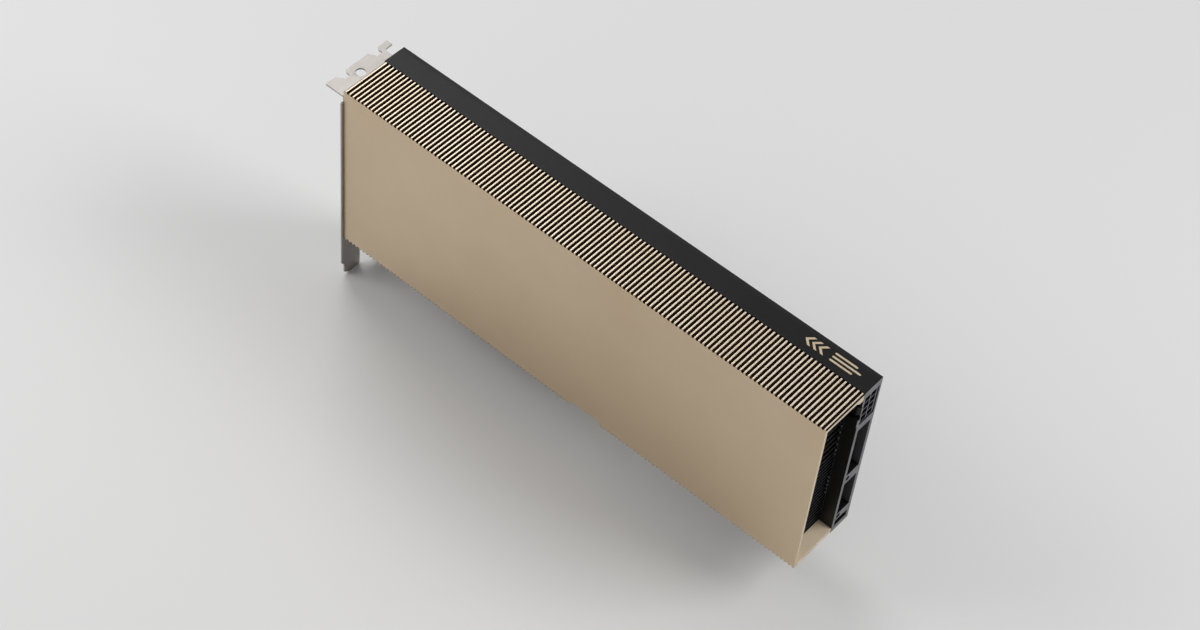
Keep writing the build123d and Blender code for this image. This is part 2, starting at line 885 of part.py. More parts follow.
save("back_plate_screws", back_plate_screws())
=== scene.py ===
"""Finishes a passive accelerator card, built as a fixed frame, for its studio picture."""

import logging
import math
from dataclasses import dataclass, field
from enum import Enum
from typing import Callable, Iterator, Sequence

import bmesh
import bpy
from mathutils import Matrix, Vector


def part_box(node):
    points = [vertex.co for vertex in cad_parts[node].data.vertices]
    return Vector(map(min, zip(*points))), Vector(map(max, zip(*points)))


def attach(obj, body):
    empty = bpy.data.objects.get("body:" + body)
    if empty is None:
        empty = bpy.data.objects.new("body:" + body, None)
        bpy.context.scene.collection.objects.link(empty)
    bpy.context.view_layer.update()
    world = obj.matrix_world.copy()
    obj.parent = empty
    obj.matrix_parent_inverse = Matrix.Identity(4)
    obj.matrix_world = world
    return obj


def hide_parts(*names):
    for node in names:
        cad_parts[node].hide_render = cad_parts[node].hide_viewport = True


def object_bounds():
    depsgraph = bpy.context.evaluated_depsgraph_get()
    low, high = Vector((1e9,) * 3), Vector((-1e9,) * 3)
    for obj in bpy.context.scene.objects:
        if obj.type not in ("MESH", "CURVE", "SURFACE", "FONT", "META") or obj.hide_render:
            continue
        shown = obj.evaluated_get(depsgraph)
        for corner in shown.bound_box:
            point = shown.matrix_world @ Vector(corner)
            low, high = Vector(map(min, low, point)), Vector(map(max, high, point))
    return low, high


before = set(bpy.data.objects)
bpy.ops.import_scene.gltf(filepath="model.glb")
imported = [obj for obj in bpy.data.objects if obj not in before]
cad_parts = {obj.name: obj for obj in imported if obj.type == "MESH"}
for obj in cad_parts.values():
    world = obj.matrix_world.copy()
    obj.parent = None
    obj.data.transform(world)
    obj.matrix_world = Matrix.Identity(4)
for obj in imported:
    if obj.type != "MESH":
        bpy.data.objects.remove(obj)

MM = 0.001
ROOT = "root"
LOG = logging.getLogger("accelerator_card")
CAD_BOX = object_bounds()
SAME_PLACE = 1e-7  # metres between corners that are one corner
FLAT_WITHIN = math.radians(0.5)  # turn between faces that are one flat face
SMOOTH_WITHIN = math.radians(36.0)  # turn between faces that are shaded as one
CORNER = 60.0  # degrees; edges of a new shape that are sharper get rounded
CAD_CORNER = 40.0  # degrees; the same for a shape that comes from the CAD
ROUND_STEPS = 2  # faces across a rounded edge
FACING = 0.5  # least part of a face's normal along the axis that it faces
HEAD_RADII = {"bracket_screws": 2.3, "shroud_screws": 1.4, "back_plate_screws": 2.3}

Colour = tuple[float, float, float]
Point2 = tuple[float, float]
Loop = list[Point2]
Shape = bmesh.types.BMesh
Face = bmesh.types.BMFace
Edge = bmesh.types.BMEdge
Nodes = bpy.types.NodeTree
Socket = bpy.types.NodeSocket
Feed = Socket | float | tuple[float, ...]


def paint(seen: Colour) -> Colour:
    """Turns a colour as seen on a screen into linear light.

    Args:
        seen: Red, green and blue from 0 to 255.

    Returns:
        The same colour in linear light, from 0 to 1.
    """
    red, green, blue = (
        share / 12.92 if share <= 0.04045 else ((share + 0.055) / 1.055) ** 2.4
        for share in (level / 255 for level in seen)
    )
    return (red, green, blue)


def feed(tree: Nodes, node: bpy.types.Node, inputs: dict[str | int, Feed]) -> None:
    """Sets or links the inputs of a shader node.

    Args:
        tree: The nodes that it belongs to.
        node: The node.
        inputs: A value or another node's output for each named input.
    """
    for name, value in inputs.items():
        if isinstance(value, Socket):
            tree.links.new(value, node.inputs[name])
        else:
            node.inputs[name].default_value = value


def add_node(
    tree: Nodes, kind: str, output: str, inputs: dict[str | int, Feed], **options: str
) -> Socket:
    """Adds a shader node with its inputs.

    Args:
        tree: The nodes that receive it.
        kind: The node's kind.
        output: The name of the output that is wanted.
        inputs: A value or another node's output for each named input.
        **options: Choices that are set on the node itself.

    Returns:
        The wanted output.
    """
    node = tree.nodes.new("ShaderNode" + kind)
    for option, choice in options.items():
        setattr(node, option, choice)
    feed(tree, node, inputs)
    return node.outputs[output]


class Grain(Enum):
    """How the fine grain of a surface lies, as a stretch along X, Y and Z."""

    EVEN = (1.0, 1.0, 1.0)
    ALONG_X = (0.05, 1.0, 1.0)
    ALONG_Y = (1.0, 0.05, 1.0)
    ALONG_Z = (1.0, 1.0, 0.05)


class Pattern(Enum):
    """What is printed or etched into a surface besides its grain, with its size."""

    PLAIN = 0.0
    TRACES = 9.0
    WEAVE = 0.5


@dataclass(frozen=True)
class Finish:
    """One surface finish. Lengths are millimetres and colours run from 0 to 255.

    The colour drifts towards the shade in patches, the roughness runs between two values with
    the grain, and the grain lifts the surface a little.
    """

    name: str
    colour: Colour
    shade: Colour
    smooth: float
    rough: float
    patch: float
    metallic: float = 0.0
    grain_size: float = 0.3
    lift: float = 0.006
    grain: Grain = Grain.EVEN
    pattern: Pattern = Pattern.PLAIN
    coat: float = 0.0
    specular: float = 0.5
    coat_roughness: float = 0.3
    patch_detail: float = 3.0
    grain_detail: float = 2.0
    colour_span: Point2 = (0.34, 0.66)
    grain_span: Point2 = (0.3, 0.7)
    print_gain: float = 0.04
    trace_width: float = 0.03
    trace_shade: float = 0.1

    def material(self) -> bpy.types.Material:
        """Builds the finish once and gives the same material afterwards.

        Returns:
            The finish's material.
        """
        known = bpy.data.materials.get(self.name)
        if known:
            return known
        made = bpy.data.materials.new(self.name)
        made.use_nodes = True
        made.diffuse_color = (*paint(self.colour), 1.0)
        tree = made.node_tree
        place = tree.nodes.new("ShaderNodeTexCoord").outputs["Object"]
        patches = self.noise(tree, place, self.patch, self.patch_detail, Grain.EVEN)
        grain = self.noise(tree, place, self.grain_size, self.grain_detail, self.grain)
        tint = self.tint(tree, patches)
        height = grain
        if self.pattern is not Pattern.PLAIN:
            mask = self.printed(tree, place)
            tint = self.print_over(tree, mask, tint)
            height = add_node(tree, "Math", "Value", {0: grain, 1: mask}, operation="ADD")
        feed(tree, tree.nodes["Principled BSDF"], {
            "Base Color": tint,
            "Metallic": self.metallic,
            "Roughness": add_node(tree, "MapRange", "Result", {
                "Value": grain, "From Min": self.grain_span[0], "From Max": self.grain_span[1],
                "To Min": self.smooth, "To Max": self.rough,
            }),
            "Specular IOR Level": self.specular,
            "Coat Weight": self.coat,
            "Coat Roughness": self.coat_roughness,
            "Normal": add_node(tree, "Bump", "Normal", {
                "Height": height, "Strength": 1.0, "Distance": self.lift * MM,
            }),
        })
        return made

    @staticmethod
    def noise(tree: Nodes, place: Socket, size: float, detail: float, grain: Grain) -> Socket:
        """Adds noise of one feature size.

        Args:
            tree: The finish's nodes.
            place: Where on the object the noise is read.
            size: Size of a feature in millimetres.
            detail: Octaves of finer noise on top.
            grain: Stretch of the features.

        Returns:
            The noise's value, about 0.5.
        """
        stretched = add_node(tree, "Mapping", "Vector", {"Vector": place, "Scale": grain.value})
        inputs = {"Vector": stretched, "Scale": 1 / (size * MM), "Detail": detail}
        return add_node(tree, "TexNoise", "Fac", inputs)

    def tint(self, tree: Nodes, patches: Socket) -> Socket:
        """Runs from the colour to the shade with the patches.

        Args:
            tree: The finish's nodes.
            patches: The patches' noise.

        Returns:
            The blended colour.
        """
        ramp = tree.nodes.new("ShaderNodeValToRGB")
        stops = zip(ramp.color_ramp.elements, self.colour_span, (self.colour, self.shade))
        for stop, position, colour in stops:
            stop.position = position
            stop.color = (*paint(colour), 1.0)
        feed(tree, ramp, {"Fac": patches})
        return ramp.outputs["Color"]

    def printed(self, tree: Nodes, place: Socket) -> Socket:
        """Adds the printed pattern.

        Args:
            tree: The finish's nodes.
            place: Where on the object the pattern is read.

        Returns:
            The pattern's strength from 0 to 1.
        """
        scale = 1 / (self.pattern.value * MM)
        if self.pattern is Pattern.WEAVE:
            return add_node(tree, "TexChecker", "Fac", {"Vector": place, "Scale": scale})
        turn = {"Vector": place, "Rotation": (math.pi / 2, 0.0, math.pi / 4)}
        return add_node(tree, "TexBrick", "Color", {
            "Vector": add_node(tree, "Mapping", "Vector", turn),
            "Scale": scale,
            "Mortar Size": self.trace_width,
            "Color1": (0.0, 0.0, 0.0, 1.0),
            "Color2": (*[self.trace_shade] * 3, 1.0),
            "Mortar": (1.0, 1.0, 1.0, 1.0),
        })

    def print_over(self, tree: Nodes, mask: Socket, tint: Socket) -> Socket:
        """Lightens the colour where the pattern is.

        Args:
            tree: The finish's nodes.
            mask: The pattern's strength.
            tint: The colour beneath.

        Returns:
            The colour with the pattern.
        """
        gain = {"Color": tint, "Bright": self.print_gain}
        lighter = add_node(tree, "BrightContrast", "Color", gain)
        layers = {"Factor": mask, "A": tint, "B": lighter}
        return add_node(tree, "Mix", "Result", layers, data_type="RGBA")


GOLD = Finish(
    "champagne_anodised", (215, 195, 167), (211, 190, 161), metallic=0.92,
    smooth=0.36, rough=0.46, patch=60.0, grain_size=0.5,
)
# Bright cut metal on the shroud's tail-facing faces, lightened further as a painted highlight.
GOLD_EDGE_HIGHLIGHT = Finish(
    "champagne_cut_edge_painted_highlight", (236, 219, 192), (228, 209, 180), metallic=1.0,
    smooth=0.22, rough=0.32, patch=10.0, grain_size=0.5, lift=0.003,
)
# Painted highlight: a lighter copy of the champagne finish on the rib lands and the tops of their
# round lips.
GOLD_LAND_HIGHLIGHT = Finish(
    "champagne_rib_land_painted_highlight", (234, 220, 198), (227, 211, 186), metallic=0.92,
    smooth=0.38, rough=0.48, patch=40.0, grain_size=0.5, lift=0.004,
)
# Painted shade: a dark brown copy of the champagne finish on the rib grooves' walls and floors
# and on the tail's outer corner strip, standing in for the shadow there.
GOLD_GROOVE_SHADE = Finish(
    "champagne_rib_groove_painted_shade", (34, 22, 10), (44, 30, 15), metallic=0.3,
    smooth=0.5, rough=0.62, patch=40.0, grain_size=0.5, lift=0.004, specular=0.1,
)
# Painted light: a lighter, less metallic copy of the champagne finish on the channel's inner
# walls, standing in for light inside the channel.
GOLD_INNER_LIGHT = Finish(
    "champagne_inner_wall_painted_light", (248, 229, 200), (242, 221, 191), metallic=0.1,
    smooth=0.42, rough=0.56, patch=20.0, grain_size=0.5,
)
BLACK_PAINT = Finish(
    "black_powder_coat", (14, 14, 16), (20, 20, 22), smooth=0.36, rough=0.5,
    patch=35.0, grain_size=0.5, lift=0.02, specular=0.24,
)
# Painted light: light grey on the faces that look towards the tail, standing in for the light
# that falls on that side.
TAIL_FACE_LIGHT = Finish(
    "grey_tail_face_painted_light", (118, 118, 120), (98, 98, 101), metallic=0.7,
    smooth=0.3, rough=0.45, patch=9.0, grain=Grain.ALONG_Y,
)
PLATE_PAINT = Finish(
    "black_plate_paint", (20, 20, 22), (26, 26, 28), smooth=0.42, rough=0.58,
    patch=45.0, grain_size=0.45, lift=0.02, specular=0.24,
)
# Painted light: lighter grey on the plate's inner face, standing in for light that falls on it
# through the tail windows.
PLATE_INNER_LIGHT = Finish(
    "plate_inner_painted_light", (74, 74, 77), (64, 64, 67), smooth=0.5, rough=0.66,
    patch=24.0, grain_size=0.5, lift=0.015, specular=0.4,
)
NICKEL = Finish(
    "nickel_plate", (178, 173, 169), (170, 165, 161), metallic=1.0,
    smooth=0.42, rough=0.54, patch=14.0, grain_size=0.35, grain=Grain.ALONG_Z,
)
ZINC = Finish(
    "zinc_plate", (196, 197, 200), (176, 178, 183), metallic=1.0,
    smooth=0.26, rough=0.42, patch=2.5,
)
BLACK_OXIDE = Finish(
    "black_oxide", (46, 46, 48), (58, 58, 60), metallic=0.85,
    smooth=0.3, rough=0.48, patch=2.5,
)
# Dark fin coating, darkened further as painted shade for the gaps between the fins.
DARK_SHEET_SHADE = Finish(
    "dark_fin_sheet_painted_shade", (13, 13, 15), (9, 9, 11), metallic=0.2, specular=0.2,
    smooth=0.4, rough=0.54, patch=12.0, grain_size=0.5, grain=Grain.ALONG_X,
)
# Painted light: lighter grey on the fins' tail-facing edges, standing in for the light on that
# side.
FIN_EDGE_LIGHT = Finish(
    "fin_tail_edge_painted_light", (88, 89, 93), (74, 75, 79), metallic=0.5,
    smooth=0.36, rough=0.5, patch=5.0, lift=0.004,
)
BARE_TAB = Finish(
    "bare_fin_tab", (196, 198, 204), (170, 172, 180), metallic=1.0,
    smooth=0.25, rough=0.4, patch=2.0, lift=0.004,
)
MACHINED = Finish(
    "machined_aluminium", (176, 177, 180), (160, 161, 165), metallic=1.0,
    smooth=0.28, rough=0.44, patch=25.0, grain_size=0.35, lift=0.008, grain=Grain.ALONG_X,
)
COPPER = Finish(
    "drawn_copper", (208, 140, 104), (184, 116, 84), metallic=1.0,
    smooth=0.26, rough=0.42, patch=20.0, grain_size=0.4, grain=Grain.ALONG_X,
)
BOARD = Finish(
    "solder_mask", (26, 54, 38), (20, 44, 31), smooth=0.3, rough=0.46,
    patch=22.0, grain_size=0.4, lift=0.02, pattern=Pattern.TRACES, coat=0.3,
)
GOLD_PLATE = Finish(
    "gold_plated_contact", (232, 190, 104), (218, 172, 86), metallic=1.0,
    smooth=0.2, rough=0.36, patch=3.0, lift=0.004, grain=Grain.ALONG_Z,
)
LAMINATE = Finish(
    "package_laminate", (44, 92, 62), (36, 78, 52), smooth=0.36, rough=0.5,
    patch=8.0, grain_size=0.4, lift=0.012, pattern=Pattern.WEAVE,
)
SILICON = Finish(
    "polished_silicon", (92, 94, 106), (78, 80, 94), metallic=0.6,
    smooth=0.12, rough=0.24, patch=9.0, grain_size=0.6, lift=0.002,
)
PASTE = Finish(
    "thermal_paste", (178, 179, 182), (160, 161, 166), smooth=0.5, rough=0.7,
    patch=3.0, grain_size=0.5, lift=0.04,
)
MOULDED = Finish(
    "moulded_package", (38, 38, 40), (46, 46, 48), smooth=0.45, rough=0.65,
    patch=5.0, grain_size=0.25, lift=0.02,
)
SOFT_PAD = Finish(
    "soft_thermal_pad", (126, 138, 158), (110, 122, 142), smooth=0.6, rough=0.8,
    patch=5.0, grain_size=0.5, lift=0.05,
)
POWDER_CORE = Finish(
    "pressed_powder", (84, 84, 86), (68, 68, 71), metallic=0.3, smooth=0.5,
    rough=0.7, patch=2.5, grain_size=0.25, lift=0.03,
)
POLYMER = Finish(
    "capacitor_body", (52, 50, 46), (62, 59, 54), smooth=0.4, rough=0.58,
    patch=3.0, lift=0.015,
)
# Dark insulating film, lightened as painted light where it shows through the tail windows.
FILM_LIGHTENED = Finish(
    "insulating_film_painted_light", (62, 62, 65), (70, 70, 73), smooth=0.5, rough=0.66,
    patch=24.0, grain_size=0.6, lift=0.02,
)
NYLON = Finish(
    "header_nylon", (15, 15, 18), (20, 20, 24), smooth=0.38, rough=0.55,
    patch=4.0, lift=0.015, specular=0.18,
)
# Painted light: grey on the header's tail-facing front, standing in for the light on that side.
NYLON_FACE_LIGHT = Finish(
    "header_front_painted_light", (98, 98, 102), (84, 84, 88), smooth=0.36, rough=0.5,
    patch=4.0, lift=0.01,
)
TIN = Finish(
    "tin_plate", (200, 196, 186), (182, 178, 168), metallic=1.0,
    smooth=0.26, rough=0.4, patch=3.0, lift=0.004, grain=Grain.ALONG_X,
)
PRINT = Finish(
    "champagne_print", (214, 196, 168), (206, 186, 156), metallic=0.5,
    smooth=0.4, rough=0.52, patch=6.0,
)


def read_box(node: str) -> tuple[Vector, Vector]:
    """Gives a CAD node's lowest and highest corners in millimetres."""
    low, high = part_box(node)
    return Vector(low) / MM, Vector(high) / MM


def read_islands(node: str) -> list[tuple[Vector, Vector]]:
    """Gives the box of each separate solid in a CAD node.

    Args:
        node: The node's name.

    Returns:
        The lowest and highest corners of every solid, in millimetres.
    """
    shape = bmesh.new()
    shape.from_mesh(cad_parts[node].data)
    bmesh.ops.remove_doubles(shape, verts=shape.verts, dist=SAME_PLACE)
    left = set(shape.verts)
    boxes: list[tuple[Vector, Vector]] = []
    while left:
        heap = [left.pop()]
        found = []
        while heap:
            vertex = heap.pop()
            found.append(vertex.co / MM)
            for edge in vertex.link_edges:
                other = edge.other_vert(vertex)
                if other in left:
                    left.remove(other)
                    heap.append(other)
        low = Vector([min(point[axis] for point in found) for axis in range(3)])
        high = Vector([max(point[axis] for point in found) for axis in range(3)])
        boxes.append((low, high))
    shape.free()
    return sorted(boxes, key=lambda box: tuple(round(value, 3) for value in (*box[0], *box[1])))


def read_centres(node: str, across: int) -> list[Point2]:
    """Gives the middle of each separate solid in a CAD node.

    Args:
        node: The node's name.
        across: Number of the axis that is read besides the height.

    Returns:
        The middles as place across and height, in millimetres.
    """
    return [
        ((low[across] + high[across]) / 2, (low.z + high.z) / 2)
        for low, high in read_islands(node)
    ]


def loft(shape: Shape, rings: Sequence[Sequence[Vector]]) -> None:
    """Joins closed rings of equal length into a closed solid with flat ends.

    Args:
        shape: The mesh that receives the faces.
        rings: Rings of points in millimetres, in order.
    """
    made = [[shape.verts.new(point * MM) for point in ring] for ring in rings]
    count = len(made[0])
    for first, second in zip(made, made[1:]):
        for i in range(count):
            after = (i + 1) % count
            shape.faces.new((first[i], first[after], second[after], second[i]))
    shape.faces.new(list(reversed(made[0])))
    shape.faces.new(made[-1])


def add_block(shape: Shape, low: Vector, high: Vector) -> None:
    """Adds a rectangular solid between two corners, in millimetres."""
    corners = [(low.x, low.y), (high.x, low.y), (high.x, high.y), (low.x, high.y)]
    loft(shape, [[Vector((x, y, z)) for x, y in corners] for z in (low.z, high.z)])


def upright(across: float, up: float, depth: float) -> Vector:
    """Places a point of an upright sheet that lies along the card."""
    return Vector((across, depth, up))


def add_sheet(
    shape: Shape,
    loops: Sequence[Loop],
    place: Callable[[float, float, float], Vector],
    low: float,
    high: float,
) -> None:
    """Adds a flat sheet with holes.

    Args:
        shape: The mesh that receives the sheet.
        loops: The outline, then the holes.
        place: Puts across, up and depth values into the card's axes.
        low: Depth of one face.
        high: Depth of the other face.
    """
    rings = [[shape.verts.new(place(u, v, low) * MM) for u, v in loop] for loop in loops]
    edges = []
    for ring in rings:
        edges += [shape.edges.new(pair) for pair in zip(ring, ring[1:] + ring[:1])]
    filled = bmesh.ops.triangle_fill(shape, use_beauty=True, edges=edges)
    faces = [item for item in filled["geom"] if isinstance(item, Face)]
    partner = {}
    for ring, loop in zip(rings, loops):
        for vertex, (u, v) in zip(ring, loop):
            partner[vertex] = shape.verts.new(place(u, v, high) * MM)
    for face in faces:
        shape.faces.new([partner[vertex] for vertex in reversed(face.verts)])
    for ring in rings:
        for first, second in zip(ring, ring[1:] + ring[:1]):
            shape.faces.new((first, second, partner[second], partner[first]))


def quarter_turn(steps: int) -> list[float]:
    """Gives the angles of the points on a quarter turn."""
    return [math.pi / 2 * i / steps for i in range(steps + 1)]


def circle(centre: Point2, radius: float, steps: int = 32) -> Loop:
    """Gives points round a circle."""
    turns = [2 * math.pi * i / steps for i in range(steps)]
    return [(centre[0] + radius * math.cos(a), centre[1] + radius * math.sin(a)) for a in turns]


def slot_hole(centre: Point2, length: float, width: float, steps: int = 6) -> Loop:
    """Gives a long hole with round ends.

    Args:
        centre: The hole's middle.
        length: Length across.
        width: Width up.
        steps: Straight pieces in each round end.

    Returns:
        The hole's points in order.
    """
    reach = (length - width) / 2
    points = []
    for side, start in ((1, -math.pi / 2), (-1, math.pi / 2)):
        for i in range(steps + 1):
            angle = start + math.pi * i / steps
            across = centre[0] + side * reach + math.cos(angle) * width / 2
            points.append((across, centre[1] + math.sin(angle) * width / 2))
    return points


def round_edges(
    shape: Shape,
    width: float,
    sharper_than: float = CORNER,
    wanted: Callable[[Edge], bool] = lambda edge: True,
) -> None:
    """Rounds the sharp edges of a mesh.

    Args:
        shape: The mesh.
        width: Width of the rounding in millimetres.
        sharper_than: Smallest angle of an edge that is rounded, in degrees.
        wanted: Picks among the sharp edges.
    """
    bmesh.ops.recalc_face_normals(shape, faces=shape.faces)
    shape.normal_update()
    limit = math.radians(sharper_than)
    sharp = [
        edge for edge in shape.edges
        if len(edge.link_faces) == 2 and edge.calc_face_angle(0.0) > limit and wanted(edge)
    ]
    bmesh.ops.bevel(
        shape, geom=sharp, offset=width * MM, offset_type="OFFSET", segments=ROUND_STEPS,
        profile=0.5, affect="EDGES", clamp_overlap=True,
    )


def cad_shape(node: str) -> Shape:
    """Takes a CAD node's shape with its flat faces made whole again.

    Args:
        node: The node's name.

    Returns:
        A new mesh of the same shape.
    """
    shape = bmesh.new()
    shape.from_mesh(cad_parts[node].data)
    bmesh.ops.remove_doubles(shape, verts=shape.verts, dist=SAME_PLACE)
    bmesh.ops.dissolve_limit(
        shape, angle_limit=FLAT_WITHIN, verts=shape.verts, edges=shape.edges,
    )
    return shape


def as_mesh(name: str, shape: Shape) -> bpy.types.Mesh:
    """Stores a shape as a mesh and frees it.

    Args:
        name: The mesh's name.
        shape: The shape.

    Returns:
        The stored mesh.
    """
    mesh = bpy.data.meshes.new(name)
    shape.to_mesh(mesh)
    shape.free()
    return mesh


def add_object(name: str, data: bpy.types.ID) -> bpy.types.Object:
    """Adds an object to the scene.

    Args:
        name: The object's name.
        data: What it shows, such as a mesh, a lamp or a camera.

    Returns:
        The object.
    """
    made = bpy.data.objects.new(name, data)
    bpy.context.scene.collection.objects.link(made)
    return made


def cut_away(body: Shape, tool: Shape) -> Shape:
    """Cuts one closed mesh out of another.

    Args:
        body: The mesh that stays, which is freed.
        tool: The mesh that is cut out, which is freed.

    Returns:
        The body with the cut.
    """
    held = []
    for name, shape in (("cut_body", body), ("cut_tool", tool)):
        bmesh.ops.recalc_face_normals(shape, faces=shape.faces)
        held.append(add_object(name, as_mesh(name, shape)))
    cut = held[0].modifiers.new("cut", "BOOLEAN")
    cut.operation = "DIFFERENCE"
    cut.solver = "EXACT"
    cut.object = held[1]
    done = held[0].evaluated_get(bpy.context.evaluated_depsgraph_get())
    result = bmesh.new()
    result.from_mesh(done.data)
    for piece in held:
        mesh = piece.data
        bpy.data.objects.remove(piece)
        bpy.data.meshes.remove(mesh)
    return result


def at_tail(face: Face, station: float, lean: float = FACING) -> bool:
    """True for a face that looks towards the tail and lies beyond a station."""
    return face.normal.x > lean and face.calc_center_median().x > station * MM


def settle(
    name: str,
    shape: Shape,
    finishes: Sequence[Finish],
    replaces: str = "",
    pick: Callable[[Face], Finish] | None = None,
) -> None:
    """Turns a mesh into a finished piece that rides on the card.

    Args:
        name: The piece's name.
        shape: Its mesh, which is freed.
        finishes: Its finishes in order.
        replaces: The CAD node that it stands for, or nothing.
        pick: Gives a face's finish. Without it, every face takes the first.
    """
    bmesh.ops.recalc_face_normals(shape, faces=shape.faces)
    shape.normal_update()
    numbers = {finish.name: number for number, finish in enumerate(finishes)}
    for face in shape.faces:
        face.smooth = True
        face.material_index = numbers[pick(face).name] if pick else 0
    for edge in shape.edges:
        sharp = len(edge.link_faces) == 2 and edge.calc_face_angle(0.0) > SMOOTH_WITHIN
        edge.smooth = not sharp
    mesh = as_mesh(name, shape)
    for finish in finishes:
        mesh.materials.append(finish.material())
    piece = add_object(name, mesh)
    weighted = piece.modifiers.new("flat_faces_stay_flat", "WEIGHTED_NORMAL")
    weighted.keep_sharp = True
    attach(piece, ROOT)
    if replaces:
        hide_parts(replaces)
    LOG.info("%s: %d faces", name, len(mesh.polygons))


def dress(node: str, finish: Finish, rounding: float = 0.0) -> None:
    """Gives a CAD node a finish and softens its edges.

    Args:
        node: The node's name.
        finish: Its finish.
        rounding: Width of its rounded edges in millimetres, or 0.
    """
    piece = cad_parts[node]
    if piece.material_slots:
        for held in piece.material_slots:
            held.material = finish.material()
    else:
        piece.data.materials.append(finish.material())
    if rounding:
        weld = piece.modifiers.new("weld", "WELD")
        weld.merge_threshold = SAME_PLACE
        merge = piece.modifiers.new("flat_faces", "DECIMATE")
        merge.decimate_type = "DISSOLVE"
        merge.angle_limit = FLAT_WITHIN
        soften = piece.modifiers.new("soft_edges", "BEVEL")
        soften.width = rounding * MM
        soften.segments = ROUND_STEPS
        soften.limit_method = "ANGLE"
        soften.angle_limit = math.radians(CAD_CORNER)
        soften.harden_normals = False
    LOG.info("%s: %s", node, finish.name)


@dataclass
class Placed:
    """A piece that lies where a CAD node does. Sizes are millimetres."""

    node: str = ""
    low: Vector = field(init=False)
    high: Vector = field(init=False)

    def __post_init__(self) -> None:
        """Reads the node's lowest and highest corners."""
        self.low, self.high = read_box(self.node)


@dataclass(frozen=True)
class Recess:
    """Latch recess in the lower edge of shroud and back plate. Sizes are millimetres."""

    middle: float = 91.65
    mouth: float = 19.4
    floor: float = 15.0
    depth: float = 2.4

    def points(self, inset: float = 0.0) -> Loop:
        """Gives the recess as station and depth.

        Args:
            inset: How far its outline is drawn in.

        Returns:
            Its four corners from the bracket to the tail.
        """
        slope = (self.mouth - self.floor) / 2 / self.depth
        drift = inset * (math.hypot(1, slope) - slope)
        mouth = self.mouth / 2 + drift
        floor = self.floor / 2 + drift
        deep = self.depth + inset
        return [
            (self.middle - mouth, inset), (self.middle - floor, deep),
            (self.middle + floor, deep), (self.middle + mouth, inset),
        ]


